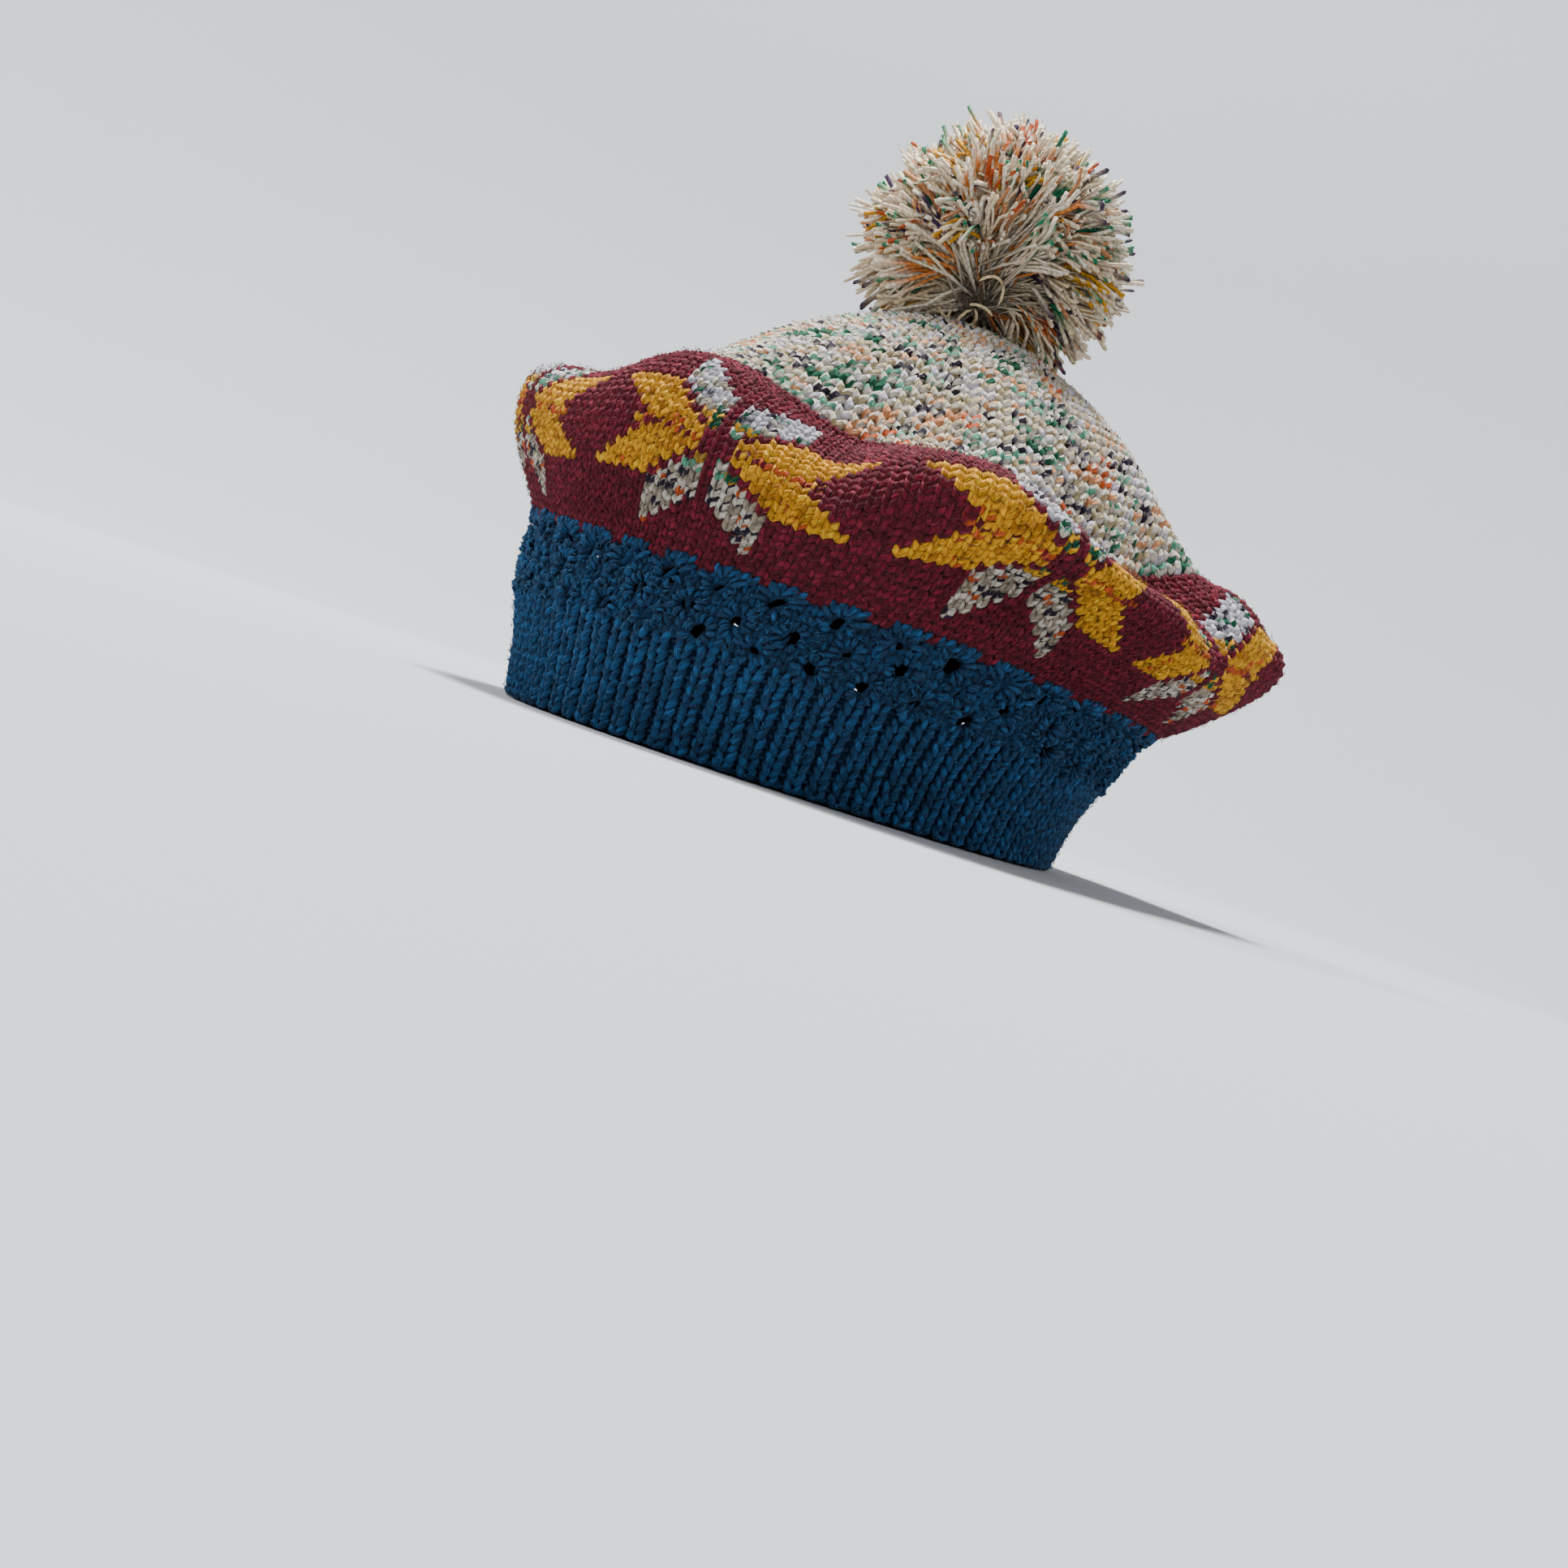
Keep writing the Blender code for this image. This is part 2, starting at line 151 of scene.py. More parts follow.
# How the strands stray: their roots at the tie, a lock and a strand from their bend, the crimp, the
# curl at the tip, the rise of the middle and the droop of the tip. They part around the tie.
TIE_SPREAD = 2.6 * MM
LOCK_SWAY = 3.2 * MM
STRAND_SWAY = 1.3 * MM
STRAND_CRIMP = 1.0 * MM
TIP_CURL = 2.0 * MM
ARCH = 10.0 * MM
DROOP = 7.0 * MM
PARTING = math.radians(40)

# Half the thickness of the yarn where it lies in the ribs, in the hem, in the purls between the ribs,
# in the purls inside, in the openwork's fans and in the loops left in the pompom
RIB_YARN = 1.12 * MM
HEM_YARN = 0.78 * MM
VALLEY_YARN = 0.62 * MM
PURL_YARN = 0.95 * MM
FAN_YARN = 0.68 * MM
LOOP_YARN = 0.48 * MM

# Half the thickness of a loose fibre, and how many each piece has. Real ones are 0.03 mm thick, and
# are drawn about nine times as thick so that they show.
FIBRE = 0.14 * MM
CUT_FIBRE = 0.13 * MM
RIB_FIBRES = 4200
OPEN_FIBRES = 3400
SIDE_FIBRES = 2800
CROWN_FIBRES = 2600
CUT_FIBRES = 4000

# Colours of the yarns, and of the room's paint, as they look in even light
DYES = {
    "petrol": "#0c314f",
    "petrol_light": "#134872",
    # Paler than the yarn: loose fibres with painted glints
    "petrol_hair_glint": "#3d7ea9",
    "burgundy": "#4c0716",
    "burgundy_light": "#630f22",
    # Paler than the yarn: loose fibres with painted glints
    "burgundy_hair_glint": "#962a45",
    "mustard": "#c58915",
    "mustard_deep": "#986110",
    "cream": "#b4ab9c",
    "cut_cream": "#f5ecdb",
    "cut_beige": "#dcc193",
    "cut_orange": "#d9803c",
    "cut_green": "#0f7350",
    "cut_aubergine": "#382642",
    "warm_cream": "#a3916e",
    "lilac_white": "#afabb3",
    "grey_cream": "#837867",
    "orange": "#a74619",
    "peach": "#ba7e55",
    "emerald": "#064930",
    "mint": "#4c856c",
    "aubergine": "#1a1122",
    "ochre": "#916a21",
    "room_paint": "#a4a6a9",
}


def dye(name):
    """Linear red, green and blue of a dye or paint, from its sRGB hex value."""
    shares = [int(DYES[name][start : start + 2], 16) / 255 for start in (1, 3, 5)]
    return np.array([s / 12.92 if s <= 0.04045 else ((s + 0.055) / 1.055) ** 2.4 for s in shares])


def ring_of(band, crown, rim, wide, slide):
    """Half width, half length, shift to the side, shift to the back and height of one section."""
    return (
        (rim * RIM_WIDTH + wide * CROWN_WIDTH) / 2,
        (rim * RIM_LENGTH + wide * CROWN_LENGTH) / 2,
        slide * SLIDE_SIDE,
        slide * SLIDE_BACK,
        band * BAND_HEIGHT + crown * (APEX_HEIGHT - BAND_HEIGHT),
    )


RINGS = np.array([ring_of(*row) for row in SECTIONS])


def ring_at(level):
    """The rings at any levels, on a smooth curve through the sections."""
    index = np.clip(level.astype(int), 0, TOP - 1)
    share = (level - index)[..., None]
    a = RINGS[np.maximum(index - 1, 0)]
    b = RINGS[index]
    c = RINGS[index + 1]
    d = RINGS[np.minimum(index + 2, TOP)]
    bend = (2 * a - 5 * b + 4 * c - d) * share**2 + (3 * b - a - 3 * c + d) * share**3
    return np.moveaxis(b + 0.5 * ((c - a) * share + bend), -1, 0)


def outside(angle, level):
    """Points of the hat's outside at angles in degrees and levels."""
    angle, level = np.broadcast_arrays(np.asarray(angle, float), np.asarray(level, float))
    half_width, half_length, side, back, height = ring_at(level)
    outwards = np.zeros(level.shape)
    up = np.zeros(level.shape)
    for middle, middle_level, spread, spread_level, share_out, share_up in FOLDS:
        turn = (angle - middle + 180.0) % 360.0 - 180.0
        fade = np.exp(-((turn / spread) ** 2) - ((level - middle_level) / spread_level) ** 2)
        outwards += fade * share_out * FOLD_DEPTH
        up += fade * share_up * FOLD_DEPTH
    start = np.minimum(level, 1.0)
    turn = np.radians(angle)
    x = side + (half_width + outwards * start) * np.cos(turn)
    y = back + (half_length + outwards * start) * np.sin(turn)
    return np.stack([x, y, height + up * start], -1) + RIM_MIDDLE


def unit(vectors):
    """Vectors of length one."""
    return vectors / np.maximum(np.linalg.norm(vectors, axis=-1, keepdims=True), 1e-12)


def facing(angle, level):
    """The way the outside faces."""
    around = outside(angle + 0.2, level) - outside(angle - 0.2, level)
    rise = outside(angle, np.minimum(level + 0.02, TOP)) - outside(angle, np.maximum(level - 0.02, 0.0))
    away = np.cross(around, rise)
    away[np.linalg.norm(around, axis=-1) < 0.02 * MM] = (0.0, 0.0, 1.0)
    return unit(away)


def gather(angles):
    """Angles of the side's columns: the folds at the wearer's left take up some of its width."""
    drift = 2.6 * np.exp(-(((angles - 318.0) / 21.0) ** 2))
    for turn in (-360.0, 0.0):
        drift = drift - 8.0 * np.exp(-(((angles - 364.0 - turn) / 27.0) ** 2))
    return angles + drift


def lay_cloth(low, high, stitches, rows, gathered=False):
    """A length of cloth between two levels, its rows evenly high: points and the way they face."""
    angles = 180.0 * np.arange(2 * stitches) / stitches
    if gathered:
        angles = gather(angles)
    levels = np.linspace(low, high, 241)
    path = outside(angles[:, None], levels[None, :])
    steps = np.linalg.norm(np.diff(path, axis=1), axis=2)
    lengths = np.concatenate([np.zeros((len(angles), 1)), np.cumsum(steps, axis=1)], axis=1)
    wanted = np.arange(2 * rows + 1) / (2 * rows)
    level_of = np.array([np.interp(wanted * length[-1], length, levels) for length in lengths])
    turned = np.broadcast_to(angles[:, None], level_of.shape)
    return outside(turned, level_of), facing(turned, level_of)


def spot(cloth, u, v):
    """Points of a cloth and the way it faces, at places counted in stitches and rows."""
    points, ways = cloth
    count, high = points.shape[:2]
    across = np.floor(2 * u).astype(int)
    along = np.clip(np.floor(2 * v).astype(int), 0, high - 2)
    f = (2 * u - across)[..., None]
    g = (2 * v - along)[..., None]
    a, b = across % count, (across + 1) % count
    found = []
    for table in (points, ways):
        below = table[a, along] * (1 - f) + table[b, along] * f
        above = table[a, along + 1] * (1 - f) + table[b, along + 1] * f
        found.append(below * (1 - g) + above * g)
    return found[0], unit(found[1])


# A piece's two materials: the yarn of its strands, and the ground under them
IN_YARN, IN_GROUND = 0, 1


class Piece:
    """Strands and grounds of one piece, gathered before its mesh is made."""

    def __init__(self):
        self.points, self.corners, self.sizes = [], [], []
        self.yarn_map, self.bake_map = [], []
        self.ply_one, self.ply_two, self.finish = [], [], []
        self.count = 0

    def add(self, points, corners, sizes, yarn_map, one, two, finish):
        self.corners.append(corners + self.count)
        self.points.append(points)
        self.sizes.append(sizes)
        self.yarn_map.append(yarn_map)
        self.ply_one.append(one)
        self.ply_two.append(two)
        self.finish.append(np.full(len(sizes), finish))
        self.count += len(points)


def strand_faces(rings, sides):
    """Corners of one closed strand with pointed ends, and each corner's ring and place around."""
    corners, sizes, ring_of_corner, around = [], [], [], []

    def put(*spots):
        for ring, side in spots:
            if ring == 0:
                corners.append(0)
            elif ring == rings - 1:
                corners.append(1 + (rings - 2) * sides)
            else:
                corners.append(1 + (ring - 1) * sides + int(side) % sides)
            ring_of_corner.append(ring)
            around.append(side / sides)
        sizes.append(len(spots))

    for side in range(sides):
        put((0, side + 0.5), (1, side + 1), (1, side))
        for ring in range(1, rings - 2):
            put((ring, side), (ring, side + 1), (ring + 1, side + 1), (ring + 1, side))
        put((rings - 2, side), (rings - 2, side + 1), (rings - 1, side + 0.5))
    return np.array(corners), np.array(sizes), np.array(ring_of_corner), np.array(around)


def add_strands(piece, middles, ways, across, deep, one, two, sides, start=None):
    """Strands of yarn along given middles: closed, pointed at both ends and wider than deep."""
    count, rings = middles.shape[:2]
    along = unit(np.gradient(middles, axis=1))
    aside = unit(np.cross(along, ways))
    upwards = np.cross(aside, along)
    turn = 2 * math.pi * np.arange(sides) / sides
    body = slice(1, rings - 1)
    spread = aside[:, body, None] * (np.cos(turn)[:, None] * across[:, body, None, None])
    spread = spread + upwards[:, body, None] * (np.sin(turn)[:, None] * deep[:, body, None, None])
    rim = (middles[:, body, None] + spread).reshape(count, -1, 3)
    points = np.concatenate([middles[:, :1], rim, middles[:, -1:]], axis=1)
    corners, sizes, ring_of_corner, around = strand_faces(rings, sides)
    offsets = np.arange(count)[:, None] * points.shape[1]
    steps = np.linalg.norm(np.diff(middles, axis=1), axis=2)
    lengths = np.concatenate([np.zeros((count, 1)), np.cumsum(steps, axis=1)], axis=1) / MM
    if start is not None:
        lengths = lengths + start[:, None]
    yarn_map = np.stack([np.broadcast_to(around, (count, len(around))), lengths[:, ring_of_corner]], -1)
    shades = []
    for shade in (one, two):
        if shade.ndim == 2:
            shade = np.broadcast_to(shade[:, None], (count, rings, 3))
        ringed = np.repeat(shade[:, body], sides, axis=1)
        shades.append(np.concatenate([shade[:, :1], ringed, shade[:, -1:]], axis=1).reshape(-1, 3))
    corners, yarn_map = (corners + offsets).reshape(-1), yarn_map.reshape(-1, 2)
    piece.add(points.reshape(-1, 3), corners, np.tile(sizes, count), yarn_map, *shades, IN_YARN)
    cells = math.ceil(math.sqrt(count))
    cell = np.stack([np.arange(count) % cells, np.arange(count) // cells], -1)[:, None]
    inside = np.stack([around, ring_of_corner / (rings - 1)], -1)[None] * 0.9 + 0.05
    piece.bake_map.append(((cell + inside) / cells).reshape(-1, 2))


def add_ground(piece, grid_u, grid_v, outer, inner, shade, kept):
    """A wall under the stitches: an outer and an inner face, joined along every open edge."""
    wide, high = kept.shape
    base = np.arange(wide * (high + 1)).reshape(wide, high + 1)
    i, j = np.nonzero(kept)
    after = (i + 1) % wide
    a, b, c, d = base[i, j], base[after, j], base[after, j + 1], base[i, j + 1]
    under = base.size
    quads = [np.stack([a, b, c, d], -1), np.stack([d, c, b, a], -1) + under]
    padded = np.pad(kept, ((0, 0), (1, 1)))
    for one, two, beyond in (
        (a, b, padded[i, j]),
        (c, d, padded[i, j + 2]),
        (b, c, kept[after, j]),
        (d, a, kept[i - 1, j]),
    ):
        bare = ~beyond
        quads.append(np.stack([two, one, one + under, two + under], -1)[bare])
    quads = np.concatenate(quads)
    points = np.concatenate([outer.reshape(-1, 3), inner.reshape(-1, 3)])
    shades = np.concatenate([shade.reshape(-1, 3)] * 2)
    places = np.concatenate([np.stack([grid_u, grid_v], -1).reshape(-1, 2)] * 2)
    used, renumbered = np.unique(quads.reshape(-1), return_inverse=True)
    yarn_map = places[quads.reshape(-1)]
    sizes, own = np.full(len(quads), 4), shades[used]
    piece.add(points[used], renumbered, sizes, yarn_map, own, own, IN_GROUND)
    cells = math.ceil(math.sqrt(len(quads)))
    cell = np.stack([np.arange(len(quads)) % cells, np.arange(len(quads)) // cells], -1)[:, None]
    inside = np.array([(0.05, 0.05), (0.95, 0.05), (0.95, 0.95), (0.05, 0.95)])[None]
    piece.bake_map.append(((cell + inside) / cells).reshape(-1, 2))


def lay_strands(piece, cloth, u, v, lift, across, one, two, sides, flat=1.0, start=None):
    """Strands laid along a cloth, at a height over it, and flatter than wide by a share."""
    u, v, lift, across = np.broadcast_arrays(u, v, lift, across)
    points, ways = spot(cloth, u, v)
    middles = points + ways * lift[..., None]
    add_strands(piece, middles, ways, across, across * flat, one, two, sides, start=start)


def lay_purls(piece, cloth, u, v, wide, lift, one, two, flat=0.6):
    """The purl side of stitches, as it shows inside the hat."""
    purl_u = u[:, None] + wide[:, None] * np.array((-0.5, 0.0, 0.5))
    lay_strands(piece, cloth, purl_u, v[:, None], lift, PURL_YARN, one, two, 3, flat)


def lay_ground(piece, cloth, grid_u, grid_v, outer, inner, shade, kept):
    """A wall under a cloth's stitches. outer and inner are the heights of its faces over the cloth."""
    points, ways = spot(cloth, grid_u, grid_v)
    faces = [points + ways * np.asarray(height)[..., None] for height in (outer, inner)]
    add_ground(piece, grid_u, grid_v, *faces, np.broadcast_to(shade, points.shape), kept)


def pack_bake_map(parts):
    """Puts the bake maps of a piece's parts side by side."""
    spread = []
    shares = np.array([len(part) for part in parts], float) ** 0.5
    edges = np.concatenate([[0.0], np.cumsum(shares / shares.sum())])
    for part, low, high in zip(parts, edges, edges[1:]):
        spread.append(np.stack([low + part[:, 0] * (high - low), part[:, 1]], -1))
    return np.concatenate(spread)


def make_piece(name, piece, node, yarn):
    """The mesh of a piece, riding on the hat in the place of a solid of the part."""
    points = np.concatenate(piece.points)
    corners = np.concatenate(piece.corners)
    sizes = np.concatenate(piece.sizes)
    mesh = bpy.data.meshes.new(name)
    mesh.vertices.add(len(points))
    mesh.vertices.foreach_set("co", points.ravel())
    mesh.loops.add(len(corners))
    mesh.loops.foreach_set("vertex_index", corners.astype(np.int32))
    mesh.polygons.add(len(sizes))
    starts = np.concatenate([[0], np.cumsum(sizes)[:-1]])
    mesh.polygons.foreach_set("loop_start", starts.astype(np.int32))
    mesh.polygons.foreach_set("material_index", np.concatenate(piece.finish).astype(np.int32))
    mesh.update(calc_edges=True)
    maps = {"yarn": np.concatenate(piece.yarn_map), "OFBake": pack_bake_map(piece.bake_map)}
    for layer, values in maps.items():
        made = mesh.uv_layers.new(name=layer)
        made.data.foreach_set("uv", values.ravel())
    plies = {"ply_one": piece.ply_one, "ply_two": piece.ply_two}
    for layer, values in plies.items():
        made = mesh.color_attributes.new(layer, "FLOAT_COLOR", "POINT")
        shades = np.concatenate([np.concatenate(values), np.ones((len(points), 1))], axis=1)
        made.data.foreach_set("color", shades.ravel())
    mesh.validate()
    mesh.shade_smooth()
    mesh.materials.append(yarn)
    mesh.materials.append(GROUND)
    made = bpy.data.objects.new(name, mesh)
    bpy.context.scene.collection.objects.link(made)
    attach(made, "root")
    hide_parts(node)


# Right leg of a stitch, from its foot to its shoulder: sideways and upwards in shares of the
# stitch, its middle's height over the cloth in shares of the yarn's gauge, and its thickness
LEG = (
    # sideways, upwards, height, thickness
    (0.04, -0.72, -1.9, 0.60),
    (0.12, -0.38, -0.95, 0.92),
    (0.26, 0.05, -0.45, 1.00),
    (0.38, 0.46, -0.85, 0.95),
    (0.45, 0.84, -1.9, 0.60),
)


def add_stitches(piece, cloth, u, v, wide, one, two, rng, gauge, move=None, raised=0.0):
    """Knit stitches at places of a cloth. wide is a stitch's width there, counted in the cloth's.

    gauge is half the yarn's thickness as a share of that width.
    """
    sideways, upwards, height, thickness = np.array(LEG).T
    count = len(u)
    left, _ = spot(cloth, u - wide / 2, v)
    right, _ = spot(cloth, u + wide / 2, v)
    span = np.linalg.norm(right - left, axis=1)
    for hand in (-1, 1):
        slip = rng.normal(0.0, 1.0, (4, count))
        leg_u = u[:, None] + wide[:, None] * (hand * sideways + 0.03 * slip[0][:, None])
        leg_v = v[:, None] + upwards + 0.05 * slip[1][:, None]
        if move is not None:
            leg_u, leg_v = move(leg_u, leg_v)
        thick = gauge * span * (1 + 0.06 * slip[2])
        lift = height * thick[:, None] + (0.08 * slip[3][:, None] + raised) * MM
        across = thick[:, None] * thickness
        shade = 1 + 0.07 * rng.normal(0.0, 1.0, (count, 1))
        start = rng.uniform(0, 50, count)
        lay_strands(piece, cloth, leg_u, leg_v, lift, across, one * shade, two * shade, 4, 0.9, start)


def add_fuzz(piece, cloth, u, v, shade, rng, reach, lift, upright=0.0):
    """Loose ends of fibre that stand off the cloth, drawn several times as thick as they are.

    upright, from 0 to 1, turns them along the columns.
    """
    count = len(u)
    points, ways = spot(cloth, u, v)
    above, _ = spot(cloth, u, v + 0.5)
    heading = unit(rng.normal(0.0, 1.0, (count, 3)) + 2.2 * upright * unit(above - points))
    heading = unit(heading - ways * np.sum(heading * ways, axis=1, keepdims=True))
    heading = heading * (reach * rng.uniform(0.5, 1.3, (count, 1)))
    curl = 0.12 * reach * rng.normal(0.0, 1.0, (count, 3))
    rise = ways * (lift + 0.35 * MM * rng.uniform(-1.0, 1.0, (count, 1)))
    stands = np.where(rng.uniform(0, 1, (count, 1)) > 0.7, 3.6, 1.0)
    low = points - 0.5 * heading + (rise - 0.3 * MM * ways)
    high = rise + ways * (0.4 * MM * stands * rng.uniform(-0.4, 1.0, (count, 1)))
    middles = np.stack([low, points + curl + rise, points + 0.5 * heading + high], 1)
    across = np.full((count, 3), FIBRE)
    ways = np.broadcast_to(ways[:, None], middles.shape)
    add_strands(piece, middles, ways, across, across, shade, shade, 3)


def add(tree, kind, links=None, **settings):
    """Adds a node to a material, with its settings and with what goes into it."""
    made = tree.nodes.new(kind)
    for key, value in settings.items():
        setattr(made, key, value)
    for key, value in (links or {}).items():
        if isinstance(value, bpy.types.NodeSocket):
            tree.links.new(value, made.inputs[key])
        else:
            made.inputs[key].default_value = value
    return made


def start_material(name, even):
    """A material, its nodes and its shader, which holds the values that are even all over."""
    material = bpy.data.materials.new(name)
    material.use_nodes = True
    shader = material.node_tree.nodes["Principled BSDF"]
    for socket, value in even.items():
        shader.inputs[socket].default_value = value
    return material, material.node_tree, shader


# Wool has an IOR of about 1.55 and no metal. It is matt, and hardly shines even at a low angle.
YARN_LOOK = {
    "Roughness": 0.92,
    "IOR": 1.55,
    "Specular IOR Level": 0.18,
    "Sheen Weight": 0.03,
    "Sheen Roughness": 0.5,
}
GROUND_LOOK = {"Roughness": 0.95, "IOR": 1.55, "Specular IOR Level": 0.15, "Sheen Weight": 0.05}

# Two plies make one turn in about 4 mm of this yarn. Its fibres are 0.03 mm thick, and are drawn as
# bundles of about 0.2 mm so that they show.
TURNS_PER_MM = 0.27
FIBRES_AROUND = 14.0
FIBRE_SLANT = 1.5
FIBRE_DRAW = 0.45
YARN_RELIEF = 0.30 * MM


def spun_wool(name, grain, glint_weight, bump):
    """Two-ply dyed wool, spun and set in the hank: matt, with a soft halo of loose fibres.

    The eye sees a slanting line between the plies, darkened as painted shade, fine streaks of fibre
    along the yarn, and paler patches all over it: painted glints that stand for fibre ends in the
    light.
    The yarn map runs once around the yarn in X and along it in Y, in millimetres.
    """
    material, tree, shader = start_material(name, YARN_LOOK)
    place = add(tree, "ShaderNodeUVMap", uv_map="yarn")
    split = add(tree, "ShaderNodeSeparateXYZ", {0: place.outputs[0]})
    around, along = split.outputs["X"], split.outputs["Y"]

    # The plies, and the groove between them
    twist = {0: along, 1: TURNS_PER_MM, 2: around}
    turned = add(tree, "ShaderNodeMath", twist, operation="MULTIPLY_ADD")
    phase = add(tree, "ShaderNodeMath", {0: turned.outputs[0], 1: 2 * math.pi}, operation="MULTIPLY")
    wave = add(tree, "ShaderNodeMath", {0: phase.outputs[0]}, operation="SINE")
    edge = {"Value": wave.outputs[0], "From Min": -0.30, "From Max": 0.30}
    ply = add(tree, "ShaderNodeMapRange", edge)
    groove = add(tree, "ShaderNodeMath", {0: wave.outputs[0]}, operation="ABSOLUTE")
    one = add(tree, "ShaderNodeVertexColor", layer_name="ply_one")
    two = add(tree, "ShaderNodeVertexColor", layer_name="ply_two")
    mixed = {0: ply.outputs[0], 6: one.outputs[0], 7: two.outputs[0]}
    plies = add(tree, "ShaderNodeMix", mixed, data_type="RGBA")

    # Streaks of fibre, drawn out along the yarn and slanting around it
    slant = add(tree, "ShaderNodeMath", {0: along, 1: FIBRE_SLANT}, operation="MULTIPLY")
    drawn = add(tree, "ShaderNodeMath", {0: along, 1: FIBRE_DRAW}, operation="MULTIPLY")
    wound = {0: around, 1: FIBRES_AROUND, 2: slant.outputs[0]}
    streak_u = add(tree, "ShaderNodeMath", wound, operation="MULTIPLY_ADD")
    streak_place = add(tree, "ShaderNodeCombineXYZ", {0: streak_u.outputs[0], 1: drawn.outputs[0]})
    fibre_noise = {"Vector": streak_place.outputs[0], "Scale": 1.0, "Detail": 4.0, "Roughness": 0.7}
    streaks = add(tree, "ShaderNodeTexNoise", fibre_noise)
    span = {"From Min": 0.32, "From Max": 0.68, "To Min": 1 - grain, "To Max": 1 + grain}
    light = add(tree, "ShaderNodeMapRange", {"Value": streaks.outputs[0], **span})
    # The groove between the plies is darkened in colour: painted shade
    span = {"From Min": 0.0, "From Max": 0.5, "To Min": 0.72, "To Max": 1.0}
    depth = add(tree, "ShaderNodeMapRange", {"Value": groove.outputs[0], **span})
    lit = {0: light.outputs[0], 1: depth.outputs[0]}
    value = add(tree, "ShaderNodeMath", lit, operation="MULTIPLY")
    shaded = {0: plies.outputs[2], "Scale": value.outputs[0]}
    toned = add(tree, "ShaderNodeVectorMath", shaded, operation="SCALE")

    # Painted glints: paler patches that stand for fibre ends catching the light, never paler than
    # bleached wool
    loose = {"Vector": streak_place.outputs[0], "Scale": 0.63, "Detail": 3.0}
    ends = add(tree, "ShaderNodeTexNoise", loose)
    span = {"From Min": 0.55, "From Max": 0.70, "To Max": glint_weight}
    glint_share = add(tree, "ShaderNodeMapRange", {"Value": ends.outputs[0], **span})
    raised = {0: plies.outputs[2], 1: (2.5, 2.5, 2.5), 2: (0.02, 0.02, 0.02)}
    glint_colour = add(tree, "ShaderNodeVectorMath", raised, operation="MULTIPLY_ADD")
    bleached = {0: glint_colour.outputs[0], 1: (0.8, 0.8, 0.8)}
    held = add(tree, "ShaderNodeVectorMath", bleached, operation="MINIMUM")
    mixed = {0: glint_share.outputs[0], 6: toned.outputs[0], 7: held.outputs[0]}
    pale = add(tree, "ShaderNodeMix", mixed, data_type="RGBA")

    relief = {0: streaks.outputs[0], 1: 1.8, 2: groove.outputs[0]}
    height = add(tree, "ShaderNodeMath", relief, operation="MULTIPLY_ADD")
    pressed = {"Strength": bump, "Distance": YARN_RELIEF, "Height": height.outputs[0]}
    bumped = add(tree, "ShaderNodeBump", pressed)
    tree.links.new(pale.outputs[2], shader.inputs["Base Color"])
    tree.links.new(bumped.outputs[0], shader.inputs["Normal"])
    return material


def knitted_ground(name, depth):
    """The same wool seen deep between the stitches and from inside: packed fibre, in shade."""
    material, tree, shader = start_material(name, GROUND_LOOK)
    one = add(tree, "ShaderNodeVertexColor", layer_name="ply_one")
    place = add(tree, "ShaderNodeTexCoord")
    packed = {"Vector": place.outputs["Object"], "Scale": 900.0, "Detail": 4.0, "Roughness": 0.7}
    fibres = add(tree, "ShaderNodeTexNoise", packed)
    span = {"From Min": 0.3, "From Max": 0.7, "To Min": 0.6 * depth, "To Max": depth}
    light = add(tree, "ShaderNodeMapRange", {"Value": fibres.outputs[0], **span})
    shaded = {0: one.outputs[0], "Scale": light.outputs[0]}
    toned = add(tree, "ShaderNodeVectorMath", shaded, operation="SCALE")
    pressed = {"Strength": 0.8, "Distance": 0.4 * MM, "Height": fibres.outputs[0]}
    bumped = add(tree, "ShaderNodeBump", pressed)
    tree.links.new(toned.outputs[0], shader.inputs["Base Color"])
    tree.links.new(bumped.outputs[0], shader.inputs["Normal"])
    return material


SOFT_WOOL = spun_wool("spun_wool", 0.68, 0.7, 1.0)
CUT_WOOL = spun_wool("cut_wool_strands", 0.35, 0.4, 0.8)
GROUND = knitted_ground("wool_ground", 0.75)


def petrol_plies(rng, count):
    """Two ply colours for each of a number of petrol blue stitches, a little uneven as dyed wool is."""
    petrol, pale = dye("petrol"), dye("petrol_light")
    one = petrol + (pale - petrol) * rng.uniform(0, 1, (count, 1)) ** 2
    return one, petrol + (pale - petrol) * rng.uniform(0, 1, (count, 1))


# How deep the cloth sinks between the ribs, and the lowest place of a stitch, in rows over the rim,
# which keeps the yarn's whole thickness above the floor
RIB_VALLEY = 1.36 * MM
HEM_LOW = 0.44


def valley(u):
    """How far the cloth sinks below the crest of its rib."""
    return -RIB_VALLEY * (0.5 - 0.5 * np.cos(2 * math.pi * u)) ** 1.7


